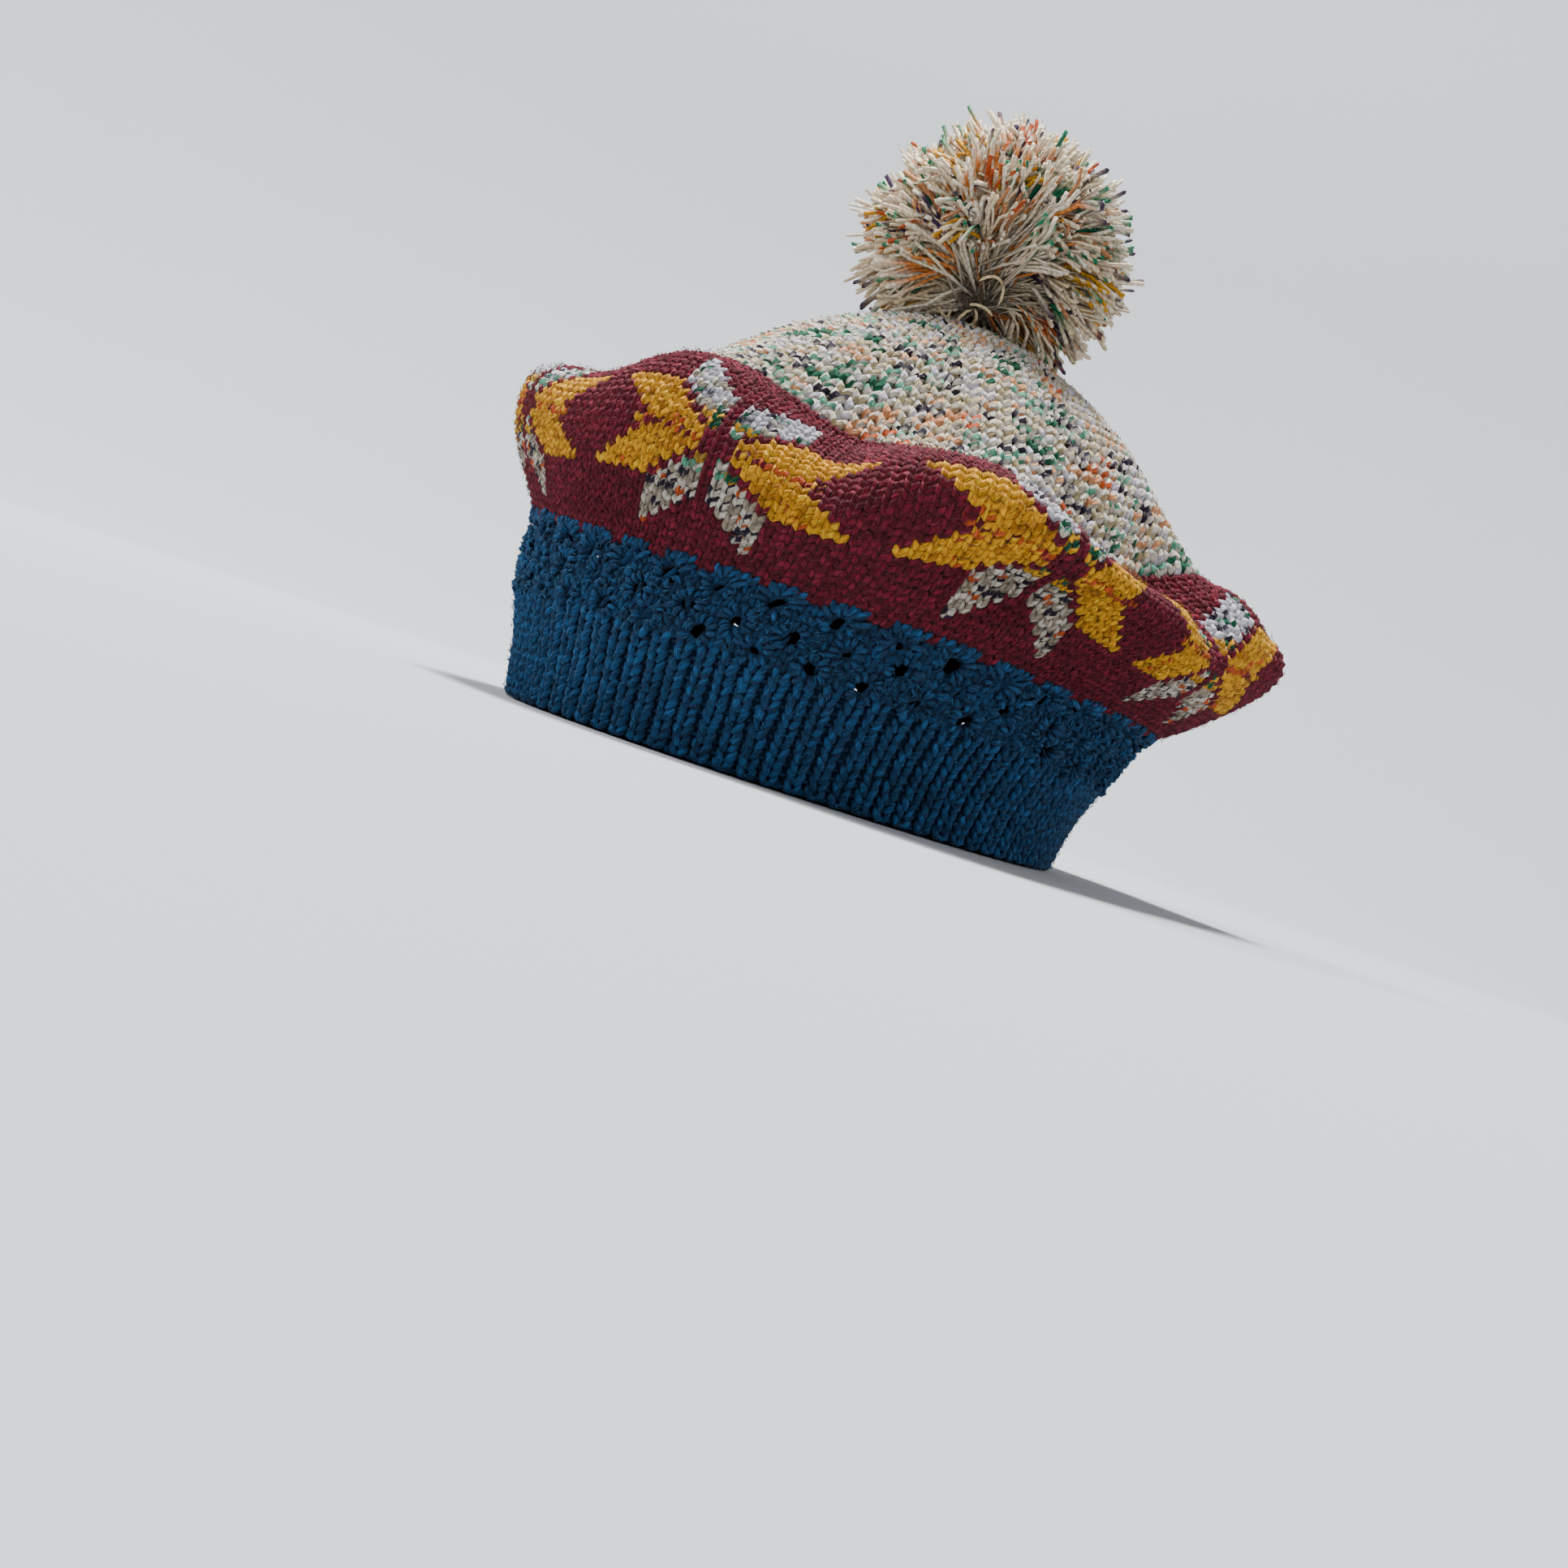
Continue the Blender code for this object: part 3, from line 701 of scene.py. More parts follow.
def knit_ribs():
    """The brim in one by one rib: round cords of knit stitches with purl bumps sunk between them."""
    rng = np.random.default_rng(11)
    piece = Piece()
    cloth = lay_cloth(0.0, RIBS_TOP, RIBS, RIB_ROWS)
    places = np.meshgrid(np.arange(RIBS), np.arange(RIB_ROWS))
    rib, row = [side.ravel().astype(float) for side in places]

    # The knit stitches of the ribs, with their legs close together
    _, upwards, height, thickness = np.array(LEG).T
    sideways = np.array((0.10, 0.15, 0.24, 0.33, 0.38))
    for hand in (-1, 1):
        slip = rng.normal(0.0, 1.0, (4, len(rib)))
        sway = 0.035 * np.sin(row * 0.7 + rib * 2.1)
        leg_u = rib[:, None] + 0.88 * hand * sideways + (0.025 * slip[0] + sway)[:, None]
        leg_v = row[:, None] + 0.62 + upwards * 1.15 + 0.08 * slip[1][:, None]
        leg_v = np.maximum(leg_v, HEM_LOW)
        thick = RIB_YARN * (1 + 0.08 * slip[2])
        lift = (height * 0.8 + 0.1) * thick[:, None] * 0.8 + valley(leg_u - sway[:, None])
        across = thick[:, None] * thickness
        one, two = petrol_plies(rng, len(rib))
        start = rng.uniform(0, 50, len(rib))
        lay_strands(piece, cloth, leg_u, leg_v, lift, across, one, two, 5, start=start)

    # The purl bumps between the ribs, their colour darkened to 0.8 as painted shade in the valleys
    bump_u = rib[:, None] + 0.5 + np.array((-0.24, -0.1, 0.1, 0.24))
    bump_v = row[:, None] + 0.5 + 0.08 * rng.normal(0, 1, (len(rib), 1))
    bump_v = bump_v + np.array((-0.2, 0.12, 0.12, -0.2))
    lift = np.array((-2.4, -1.9, -1.9, -2.4)) * MM
    one, two = petrol_plies(rng, len(rib))
    lay_strands(piece, cloth, bump_u, bump_v, lift, VALLEY_YARN, one * 0.8, two * 0.8, 4)

    # Loose fibres, dyed paler than the yarn as painted glints
    hair = dye("petrol_hair_glint") * rng.uniform(0.3, 1.3, (RIB_FIBRES, 1))
    fuzz_u, fuzz_v = rng.uniform(0, RIBS, RIB_FIBRES), rng.uniform(0.6, RIB_ROWS, RIB_FIBRES)
    kept = np.cos(2 * math.pi * fuzz_u) > -0.2
    add_fuzz(piece, cloth, fuzz_u[kept], fuzz_v[kept], hair[kept], rng, 2.0 * MM, 0.65 * MM, 0.5)

    # The cast-on edge: loops that lie along the hem
    edge = np.arange(2 * RIBS) / 2.0
    loop_u = edge[:, None] + np.array((-0.34, -0.22, 0.0, 0.22, 0.34))
    loop_v = np.array((0.66, 0.46, 0.42, 0.50, 0.85)) + 0.03 * rng.normal(0, 1, (len(edge), 1))
    lift = valley(edge)[:, None] + np.array((-1.5, -0.9, -0.6, -0.8, -1.5)) * MM
    one, two = petrol_plies(rng, len(edge))
    lay_strands(piece, cloth, loop_u, loop_v, lift, HEM_YARN, one, two, 5)

    # Inside, each rib and each valley shows half a stitch wide
    inside_u, inside_v = np.concatenate([rib, rib + 0.5]), np.tile(row, 2) + 0.5
    one, two = petrol_plies(rng, len(inside_u))
    half = np.full(len(inside_u), 0.5)
    lift = 0.35 * MM - RIB_WALL
    # The inside's purls are darkened to 0.8: painted shade
    lay_purls(piece, cloth, inside_u, inside_v, half, lift, one * 0.8, two * 0.8, 0.7)

    fine, high = 6, 6
    heights = 0.25 + (RIB_ROWS - 0.25) * np.arange(high + 1) / high
    grid_u, grid_v = np.meshgrid(np.arange(RIBS * fine) / fine, heights, indexing="ij")
    outer, inner = valley(grid_u) - 1.3 * MM, 0.4 * MM - RIB_WALL
    kept = np.ones((RIBS * fine, high), bool)
    lay_ground(piece, cloth, grid_u, grid_v, outer, inner, dye("petrol"), kept)
    make_piece("ribbed_brim_knitting", piece, "ribbed_band", SOFT_WOOL)


# A stitch and a row of the openwork, and half the width and height of a usual eyelet, in millimetres.
# An eyelet pulls on the stitches around it as far as its own size times the reach.
OPEN_STITCH = 3.65
OPEN_ROW = 2.65
EYELET_SIDEWAYS = 2.15
EYELET_UPWARDS = 1.6
EYELET_REACH = 2.1

# A fan's long stitches: where they start and end from their eyelet's middle, and where those end
# that lie over the side. The ground is open where an eyelet would push it farther than the gap.
FAN_START = 2.05
FAN_END = 4.9
SCALLOP_END = 7.6
GROUND_GAP = 1.15


def eyelet_shift(row):
    """Stitches before the first eyelet of a row. Every other row is moved on by half a step."""
    return EYELET_STEP / 2 * (1 + row % 2)


def nearest_eyelet(u, v, near=0):
    """The middle and the size of the nearest eyelet in the row of eyelets at v, or next to it."""
    own = np.clip(np.floor(v * EYELET_ROWS / OPEN_ROWS), 0, EYELET_ROWS - 1)
    row = np.clip(own + near, 0, EYELET_ROWS - 1)
    shift = eyelet_shift(row)
    step = np.round((u - shift) / EYELET_STEP)
    index = step % EYELETS_IN_ROW
    middle_u = EYELET_STEP * step + shift + 0.30 * np.sin(7.1 * index + 2.3 * row)
    middle_v = (row + 0.5) * OPEN_ROWS / EYELET_ROWS + 0.16 * np.sin(5.3 * index + 4.1 * row)
    size = 1.0 + 0.24 * np.sin(3.7 * index + 1.9 * row)
    return middle_u, middle_v, size


def eyelet_push(u, v, grow=1.0):
    """Moves places of the openwork away from the middle of the nearest eyelet."""
    best_u, best_v = u.copy(), v.copy()
    for near in (-1, 0, 1):
        middle_u, middle_v, size = nearest_eyelet(u, v, near)
        off_u, off_v = (u - middle_u) * OPEN_STITCH, (v - middle_v) * OPEN_ROW
        size = size * grow
        away = np.hypot(off_u / (EYELET_SIDEWAYS * size), off_v / (EYELET_UPWARDS * size))
        away = np.maximum(away, 0.02)
        pushed = 1.0 + (EYELET_REACH - 1.0) * away / EYELET_REACH
        times = np.where(away < EYELET_REACH, pushed / away, 1.0)
        moved = times > 1.0
        best_u = np.where(moved, middle_u + off_u * times / OPEN_STITCH, best_u)
        best_v = np.where(moved, middle_v + off_v * times / OPEN_ROW, best_v)
    return best_u, best_v


def eyelet_distance(u, v):
    """How far places of the openwork are from the nearest eyelet's middle, in millimetres."""
    nearest = np.full(u.shape, 99.0)
    for near in (-1, 0, 1):
        middle_u, middle_v, _ = nearest_eyelet(u, v, near)
        off = np.hypot((u - middle_u) * OPEN_STITCH, (v - middle_v) * OPEN_ROW)
        nearest = np.minimum(nearest, off)
    return nearest


def lay_fans(piece, cloth, rng):
    """Fans of long stitches around the eyelets.

    The fans of the highest row lie over the first rows of the side, as scallops.
    """
    side_cloth = lay_cloth(SEAM, CROWN_EDGE, OPEN_STITCHES, SIDE_ROWS)
    middles = []
    for row in range(EYELET_ROWS):
        at = EYELET_STEP * np.arange(EYELETS_IN_ROW) + eyelet_shift(row)
        height = np.full(at.shape, (row + 0.5) * OPEN_ROWS / EYELET_ROWS)
        middles.append(nearest_eyelet(at, height)[:2])
    eyelet_u, eyelet_v = np.concatenate(middles, axis=1)
    spread = np.radians(np.arange(-150.0, 151.0, 30.0))
    turn = spread[None, :] + 0.12 * rng.normal(0, 1, (len(eyelet_u), len(spread)))
    hook = np.array((-0.10, -0.04, 0.0, 0.05, 0.12)) * rng.choice((-1, 1), turn.size)[:, None]
    turn = turn.ravel()[:, None] + hook
    count = len(turn)
    highest = np.repeat(np.arange(len(eyelet_u)) >= 2 * EYELETS_IN_ROW, len(spread))
    end = np.where(highest & (np.cos(turn[:, 2]) > 0), SCALLOP_END, FAN_END)
    last = (end + 0.4 * rng.normal(0, 1, count))[:, None]
    first = FAN_START + 0.2 * rng.normal(0, 1, (count, 1))
    radius = first + (last - first) * np.array((0.0, 0.22, 0.52, 0.80, 1.0))
    fan_u = np.repeat(eyelet_u, len(spread))[:, None] + radius * np.sin(turn) / OPEN_STITCH
    fan_v = np.repeat(eyelet_v, len(spread))[:, None] + 0.92 * radius * np.cos(turn) / OPEN_ROW

    points, ways = spot(cloth, fan_u, np.minimum(fan_v, OPEN_ROWS))
    high_points, high_ways = spot(side_cloth, fan_u, np.maximum(fan_v - OPEN_ROWS, 0.0))
    over = (fan_v > OPEN_ROWS)[..., None]
    points, ways = np.where(over, high_points, points), np.where(over, high_ways, ways)
    lift = np.array((-1.8, 0.15, 0.85, 0.35, -1.3)) * MM + 0.2 * MM * rng.normal(0, 1, (count, 1))
    across = FAN_YARN * (1 + 0.15 * rng.normal(0, 1, (count, 1)))
    across = across * np.array((0.5, 0.9, 1.0, 0.95, 0.55))
    one, two = petrol_plies(rng, count)
    start = rng.uniform(0, 50, count)
    add_strands(piece, points + ways * lift[..., None], ways, across, across, one, two, 4, start=start)


def knit_openwork():
    """The strip over the ribs: stitches that three rows of eyelets pull aside, and their fans."""
    rng = np.random.default_rng(12)
    piece = Piece()
    cloth = lay_cloth(RIBS_TOP, SEAM, OPEN_STITCHES, OPEN_ROWS)
    places = np.meshgrid(np.arange(OPEN_STITCHES) + 0.5, np.arange(OPEN_ROWS) + 0.5)
    u, v = [side.ravel() for side in places]
    one, two = petrol_plies(rng, len(u))
    # The openwork's stitches, sunk under the fans, are darkened to three quarters: painted shade
    one, two = one * 0.75, two * 0.75
    raised = (0.6 * (1 - np.exp(-((eyelet_distance(u, v) / 2.6) ** 2))) - 0.85)[:, None]
    add_stitches(piece, cloth, u, v, np.ones(len(u)), one, two, rng, 0.27, eyelet_push, raised)
    lay_fans(piece, cloth, rng)

    # Loose fibres, dyed paler than the yarn as painted glints
    hair = dye("petrol_hair_glint") * rng.uniform(0.3, 1.3, (OPEN_FIBRES, 1))
    fuzz_u = rng.uniform(0, OPEN_STITCHES, OPEN_FIBRES)
    fuzz_v = rng.uniform(0.2, OPEN_ROWS, OPEN_FIBRES)
    clear = eyelet_distance(fuzz_u, fuzz_v) > 2.4
    add_fuzz(piece, cloth, fuzz_u[clear], fuzz_v[clear], hair[clear], rng, 2.1 * MM, 1.0 * MM, 0.3)

    # The ground
    fine = 3
    columns, rows = np.arange(OPEN_STITCHES * fine) / fine, np.arange(OPEN_ROWS * fine + 1) / fine
    grid_u, grid_v = np.meshgrid(columns, rows, indexing="ij")
    middle_u, middle_v = grid_u + 0.5 / fine, grid_v + 0.5 / fine
    pushed_u, pushed_v = eyelet_push(middle_u, middle_v)
    push = np.hypot((pushed_u - middle_u) * OPEN_STITCH, (pushed_v - middle_v) * OPEN_ROW)
    gone = push > GROUND_GAP
    grid_u, grid_v = eyelet_push(grid_u, grid_v, 0.62)
    grid_v = np.clip(grid_v, 0, OPEN_ROWS)
    outer, inner = -1.3 * MM, 0.2 * MM - OPEN_WALL
    lay_ground(piece, cloth, grid_u, grid_v, outer, inner, dye("petrol"), ~gone[:, :-1])
    make_piece("openwork_knitting", piece, "openwork_band", SOFT_WOOL)


def star_colour(dx, dy):
    """Which yarn a stitch of the star pattern has, from its place to the star's middle."""
    ax, ay = np.abs(dx), np.abs(dy)
    petal = (ax < ay) & (ax >= 1) & (ax <= np.minimum(ay - 1, 5)) & (ax >= ay - 5)
    leaf = (ay < ax) & (ay >= 1) & (ay <= np.minimum(ax - 1, 5)) & (ay >= ax - 6)
    vein = (ay == 0) & (ax >= 2) & (ax <= 8)
    kind = np.full(dx.shape, "burgundy", dtype="<U12")
    kind[petal] = np.where(dy[petal] > 0, "upper_petal", "lower_petal")
    kind[leaf] = "leaf"
    kind[vein] = "vein"
    kind[petal & (ay <= 3)] = "heart"
    return kind


# Each kind of stitch: how often each pair of plies is knitted there
PLIES = {
    "burgundy": (
        # share, one, two
        (0.80, "burgundy", "burgundy_light"),
        (0.20, "burgundy_light", "burgundy"),
    ),
    "leaf": (
        (0.72, "mustard", "mustard"),
        (0.24, "mustard", "mustard_deep"),
        (0.04, "mustard", "orange"),
    ),
    "vein": (
        (0.45, "orange", "mustard"),
        (0.30, "orange", "burgundy_light"),
        (0.25, "mustard", "burgundy"),
    ),
    "heart": ((0.35, "emerald", "mustard"), (0.30, "mustard", "ochre"), (0.35, "mint", "cream")),
    "upper_petal": (
        (0.52, "lilac_white", "lilac_white"),
        (0.16, "lilac_white", "aubergine"),
        (0.17, "lilac_white", "emerald"),
        (0.15, "cream", "grey_cream"),
    ),
    # The lower petals have greyer, darker plies than the upper ones
    "lower_petal": (
        (0.38, "grey_cream", "cream"),
        (0.34, "cream", "aubergine"),
        (0.16, "grey_cream", "grey_cream"),
        (0.12, "orange", "cream"),
    ),
    "edge_blue": ((0.6, "petrol", "petrol_light"), (0.4, "petrol_light", "petrol")),
    "plain_marl": (
        (0.24, "cream", "lilac_white"),
        (0.36, "warm_cream", "cream"),
        (0.10, "cream", "mint"),
        (0.13, "cream", "aubergine"),
        (0.10, "cream", "peach"),
        (0.07, "cream", "emerald"),
    ),
    "green_marl": (
        (0.34, "cream", "emerald"),
        (0.24, "mint", "cream"),
        (0.14, "emerald", "emerald"),
        (0.18, "cream", "lilac_white"),
        (0.10, "cream", "aubergine"),
    ),
    "orange_marl": (
        (0.32, "peach", "cream"),
        (0.16, "orange", "cream"),
        (0.32, "cream", "warm_cream"),
        (0.12, "cream", "aubergine"),
        (0.08, "peach", "peach"),
    ),
}


def pick_plies(kinds, rng):
    """Two ply colours for each stitch, by its kind."""
    one = np.zeros((len(kinds), 3))
    two = np.zeros((len(kinds), 3))
    for kind, choices in PLIES.items():
        own = np.nonzero(kinds == kind)[0]
        shares = np.array([row[0] for row in choices])
        picked = rng.choice(len(choices), size=len(own), p=shares / shares.sum())
        one[own] = np.array([dye(row[1]) for row in choices])[picked]
        two[own] = np.array([dye(row[2]) for row in choices])[picked]
    return one, two


# Stitches from star to star, and the column and row of the first star's middle
STAR_STITCHES = 26
STAR_COLUMN = 2
STAR_ROW = 13


def side_kinds(column, row):
    """The kind of each stitch of the side."""
    dx = (column - STAR_COLUMN + STAR_STITCHES // 2) % STAR_STITCHES - STAR_STITCHES // 2
    kinds = star_colour(dx, row - STAR_ROW)
    share = gather(360.0 * (column + 0.5) / SIDE_STITCHES) / 360.0
    swell = np.abs(np.sin(math.pi * share * EYELETS_IN_ROW))
    kinds[(row == 0) & (swell > 0.42)] = "edge_blue"
    return kinds


def knit_side_rows(part, cloth, low, high, rng):
    """Some rows of the side, as one piece."""
    piece = Piece()
    places = np.meshgrid(np.arange(SIDE_STITCHES), np.arange(low, high))
    column, row = [side.ravel() for side in places]
    kinds = side_kinds(column, row)
    one, two = pick_plies(kinds, rng)
    u, v, wide = column + 0.5, row + 0.5, np.ones(len(row))
    raised = np.where(kinds == "edge_blue", 0.5, 0.0)[:, None]
    add_stitches(piece, cloth, u, v, wide, one, two, rng, 0.30, raised=raised)

    fuzz_u = rng.uniform(0, SIDE_STITCHES, SIDE_FIBRES)
    fuzz_v = rng.uniform(low, high, SIDE_FIBRES)
    under = side_kinds(fuzz_u.astype(int), fuzz_v.astype(int))
    shade, _ = pick_plies(under, rng)
    # Loose burgundy fibres, dyed paler than the yarn as painted glints
    shade[under == "burgundy"] = dye("burgundy_hair_glint")
    shade = shade * rng.uniform(0.4, 1.1, (SIDE_FIBRES, 1))
    add_fuzz(piece, cloth, fuzz_u, fuzz_v, shade, rng, 1.9 * MM, 0.45 * MM)
    # The purls inside are darkened to 0.8: painted shade
    lay_purls(piece, cloth, u, v, wide, 0.2 * MM - SIDE_WALL, one * 0.8, two * 0.8)

    rows = np.arange(low, high + 1)
    at_column, at_row = np.meshgrid(np.arange(SIDE_STITCHES), rows, indexing="ij")
    knitted_row = np.minimum(at_row, SIDE_ROWS - 1)
    shade, _ = pick_plies(side_kinds(at_column.ravel(), knitted_row.ravel()), rng)
    shade = shade.reshape(*at_column.shape, 3)
    outer, inner = -1.25 * MM, 0.3 * MM - SIDE_WALL
    kept = np.ones((SIDE_STITCHES, high - low), bool)
    lay_ground(piece, cloth, at_column + 0.0, at_row + 0.0, outer, inner, shade, kept)
    name = "star_side_knitting_" + part
    make_piece(name, piece, "patterned_side", SOFT_WOOL)


def knit_side():
    """The full side in stranded colours: eight eight-petalled stars on burgundy."""
    cloth = lay_cloth(SEAM, CROWN_EDGE, SIDE_STITCHES, SIDE_ROWS, gathered=True)
    parts = (("lower", 0, 10), ("middle", 10, 19), ("upper", 19, SIDE_ROWS))
    for index, (part, low, high) in enumerate(parts):
        knit_side_rows(part, cloth, low, high, np.random.default_rng(20 + index))


def marl_kind(angle, height, rng):
    """The stretch of marl that a stitch of the crown is knitted from."""
    turn = np.radians(angle)
    drift = np.sin(7 * turn + 1.3 * np.sin(29 * height)) + np.sin(11 * turn - 17 * height)
    drift = drift + 0.4 * rng.normal(0, 1, len(angle))
    kinds = np.full(len(angle), "plain_marl", dtype="<U12")
    kinds[drift > 1.10] = "green_marl"
    kinds[drift < -1.15] = "orange_marl"
    return kinds


def crown_places(cloth):
    """Places of the crown's stitches, their rows, and how many stand in a sector of their row."""
    points, _ = spot(cloth, *np.meshgrid(np.arange(CROWN_COLUMNS) + 0.0, np.arange(CROWN_ROWS) + 0.5))
    girths = np.linalg.norm(np.roll(points, -1, axis=1) - points, axis=2).sum(axis=1)
    places = []
    for row, girth in enumerate(girths[:-1]):
        in_sector = max(int(round(girth / CROWN_STITCH / CROWN_SECTORS)), 1)
        for index in range(in_sector * CROWN_SECTORS):
            sector, own = divmod(index, in_sector)
            share = (sector + (own + 0.5) / in_sector) / CROWN_SECTORS
            places.append((CROWN_COLUMNS * share, row, in_sector))
    return np.array(places).T


def knit_crown():
    """The round on top in marl, narrowed along eight lines towards the pompom."""
    cloth = lay_cloth(CROWN_EDGE, float(TOP), CROWN_COLUMNS, CROWN_ROWS)
    u, row, in_sector = crown_places(cloth)
    rng = np.random.default_rng(30)
    piece = Piece()
    one, two = pick_plies(marl_kind(360 * u / CROWN_COLUMNS, row / CROWN_ROWS, rng), rng)
    wide = CROWN_COLUMNS / CROWN_SECTORS / in_sector
    add_stitches(piece, cloth, u, row + 0.5, wide, one, two, rng, 0.29)
    fuzz_v = (CROWN_ROWS - 1.5) * (1 - rng.uniform(0, 1, CROWN_FIBRES) ** 0.6)
    fuzz_u = rng.uniform(0, CROWN_COLUMNS, CROWN_FIBRES)
    hair = dye("cream") * rng.uniform(0.8, 1.25, (CROWN_FIBRES, 1))
    add_fuzz(piece, cloth, fuzz_u, fuzz_v, hair, rng, 1.9 * MM, 0.5 * MM)
    make_piece("crown_knitting", piece, "crown_top", SOFT_WOOL)

    inside = Piece()
    lift = 0.2 * MM - CROWN_WALL
    # The purls inside are darkened to 0.85: painted shade
    lay_purls(inside, cloth, u, row + 0.5, wide, lift, one * 0.85, two * 0.85)
    heights = np.concatenate([np.arange(0.0, CROWN_ROWS - 1), [CROWN_ROWS - 0.5]])
    grid_u, grid_v = np.meshgrid(np.arange(CROWN_COLUMNS) + 0.0, heights, indexing="ij")
    angle = 360 * grid_u.ravel() / CROWN_COLUMNS
    shade, _ = pick_plies(marl_kind(angle, grid_v.ravel() / CROWN_ROWS, rng), rng)
    # The ground is darkened to 0.6: painted shade in the gaps between the stitches
    shade = shade.reshape(*grid_u.shape, 3) * 0.6
    outer, inner = -1.4 * MM, 0.3 * MM - CROWN_WALL
    kept = np.ones((CROWN_COLUMNS, len(heights) - 1), bool)
    lay_ground(inside, cloth, grid_u, grid_v, outer, inner, shade, kept)
    make_piece("crown_inside_knitting", inside, "crown_top", SOFT_WOOL)


def crown_under(points):
    """Height of the crown, without its folds, where points stand over it."""
    rings = ring_at(np.linspace(7.0, TOP, 200))
    radii = (rings[0] + rings[1]) / 2
    axis = np.array((SLIDE_SIDE, SLIDE_BACK)) + RIM_MIDDLE[:2]
    distance = np.linalg.norm(points[..., :2] - axis, axis=-1)
    return np.interp(distance, radii[::-1], rings[4][::-1])


def ball_reach(ways):
    """How far the pompom's ball reaches along each direction."""
    return 1.0 / np.linalg.norm(ways / BALL_SIZE, axis=-1)


# Rings of a cut strand, from the tie to its tip. The light column darkens the strands near the tie,
# where they are packed: painted shade.
STRAND = (
    # share of the way, thickness, light (painted shade near the tie)
    (0.000, 0.60, 0.30),
    (0.120, 0.75, 0.42),
    (0.340, 0.95, 0.78),
    (0.570, 1.05, 1.00),
    (0.790, 1.10, 1.00),
    (0.988, 1.20, 1.00),
    (1.000, 0.50, 1.00),
)


def lock_ways(rng):
    """The way of each lock: they are spread evenly, and part round the tie."""
    index = np.arange(LOCKS)
    height = 1.0 - 2.0 * (index + 0.5) / LOCKS
    turn = index * math.pi * (3.0 - math.sqrt(5.0))
    polar = PARTING + (math.pi - PARTING) * np.arccos(height) / math.pi
    side = unit(np.cross(HUB_WAY, (0.0, 0.0, 1.0)))
    other = np.cross(HUB_WAY, side)
    ways = (
        np.cos(polar)[:, None] * HUB_WAY
        + (np.sin(polar) * np.cos(turn))[:, None] * side
        + (np.sin(polar) * np.sin(turn))[:, None] * other
    )
    return unit(ways + 0.10 * rng.normal(0, 1, ways.shape))


def by_strand(values):
    """Each lock's value, for all of its strands."""
    return np.repeat(values, STRANDS_IN_LOCK, axis=0)


def strand_paths(rng):
    """Each strand's middle, from the tie to its tip."""
    ways = by_strand(lock_ways(rng))
    reach = rng.uniform(0.86, 0.96, LOCKS) + 0.05 * (rng.uniform(0, 1, LOCKS) > 0.94)

    # Tips on the ball, drooped, and kept over the crown
    ways = unit(ways + 0.055 * rng.normal(0, 1, ways.shape))
    reach = by_strand(reach) * rng.uniform(0.94, 1.01, STRANDS)
    tips = BALL_MIDDLE + ways * (ball_reach(ways) * reach)[:, None]
    level = np.sqrt(np.clip(1 - ways[:, 2] ** 2, 0, 1))
    tips[:, 2] -= DROOP * level
    for _ in range(12):
        low = tips[:, 2] < crown_under(tips) + 2.0 * MM
        tips[low] += (BALL_MIDDLE - tips[low]) * 0.06

    # The bend of each strand: those that start near the tie hug the ball
    middle_way = unit(ways + 0.65 * HUB_WAY)
    from_hub = np.arccos(np.clip(ways @ HUB_WAY, -1, 1))
    hug = np.clip((2.5 - from_hub) / 1.0, 0, 1)[:, None]
    sway = by_strand(rng.normal(0, 1, (LOCKS, 3))) * LOCK_SWAY
    depth = by_strand(rng.uniform(0.52, 0.90, LOCKS)) * rng.uniform(0.94, 1.06, STRANDS)
    bow = BALL_MIDDLE + middle_way * (ball_reach(middle_way) * depth)[:, None]
    straight = (tips + HUB) / 2
    bend = hug * bow + (1 - hug) * straight + sway + STRAND_SWAY * rng.normal(0, 1, (STRANDS, 3))
    bend[:, 2] += ARCH * level

    # From the root over the bend to the tip, crimped as it was plied and curled at the end
    t = np.array(STRAND)[:, :1]
    roots = HUB + TIE_SPREAD * rng.normal(0, 1, (STRANDS, 3))
    path = (1 - t) ** 2 * roots[:, None] + 2 * t * (1 - t) * bend[:, None] + t**2 * tips[:, None]
    crimp = rng.uniform(0, 6.3, (STRANDS, 3))[:, None]
    path = path + STRAND_CRIMP * t * np.sin(8.0 * t + crimp)
    curl = by_strand(rng.normal(0, 1, (LOCKS, 3))) + 0.8 * rng.normal(0, 1, (STRANDS, 3))
    path = path + TIP_CURL * t**3 * curl[:, None]
    path[..., 2] = np.maximum(path[..., 2], crown_under(path) + 1.2 * MM)
    return path


def make_pompom():
    """Locks of cut strands that fan out from a tied hub, part round it and droop at their ends."""
    rng = np.random.default_rng(40)
    piece = Piece()
    path = strand_paths(rng)
    _, thickness, light = np.array(STRAND).T
    across = STRAND_GAUGE * rng.uniform(0.7, 1.3, (STRANDS, 1)) * thickness
    # The light column darkens each strand near the tie: painted shade
    one, two = [shade * light[:, None] for shade in strand_colours(rng)]
    facings, start = unit(path - BALL_MIDDLE), rng.uniform(0, 50, STRANDS)
    add_strands(piece, path, facings, across, across, one, two, 3, start=start)
    add_hair(piece, path, one, rng)
    add_loops(piece, rng)
    add_core(piece)
    make_piece("pompom_strands", piece, "pompom", CUT_WOOL)


def add_hair(piece, path, shade, rng):
    """Fibres that have come loose from the strands' cut ends."""
    own = rng.choice(len(path), CUT_FIBRES)
    end, before = path[own, -1], path[own, -3]
    heading = unit(unit(end - before) + 0.7 * rng.normal(0, 1, (len(own), 3)))
    heading = heading * rng.uniform(1.0, 2.6, (len(own), 1)) * MM
    root = before + (end - before) * rng.uniform(0.2, 1.0, (len(own), 1))
    curl = 0.4 * MM * rng.normal(0, 1, root.shape)
    middles = np.stack([root, root + 0.5 * heading + curl, root + heading], 1)
    across = np.full((len(own), 3), CUT_FIBRE)
    tone = shade[own, -2]
    add_strands(piece, middles, unit(middles - BALL_MIDDLE), across, across, tone, tone, 3)


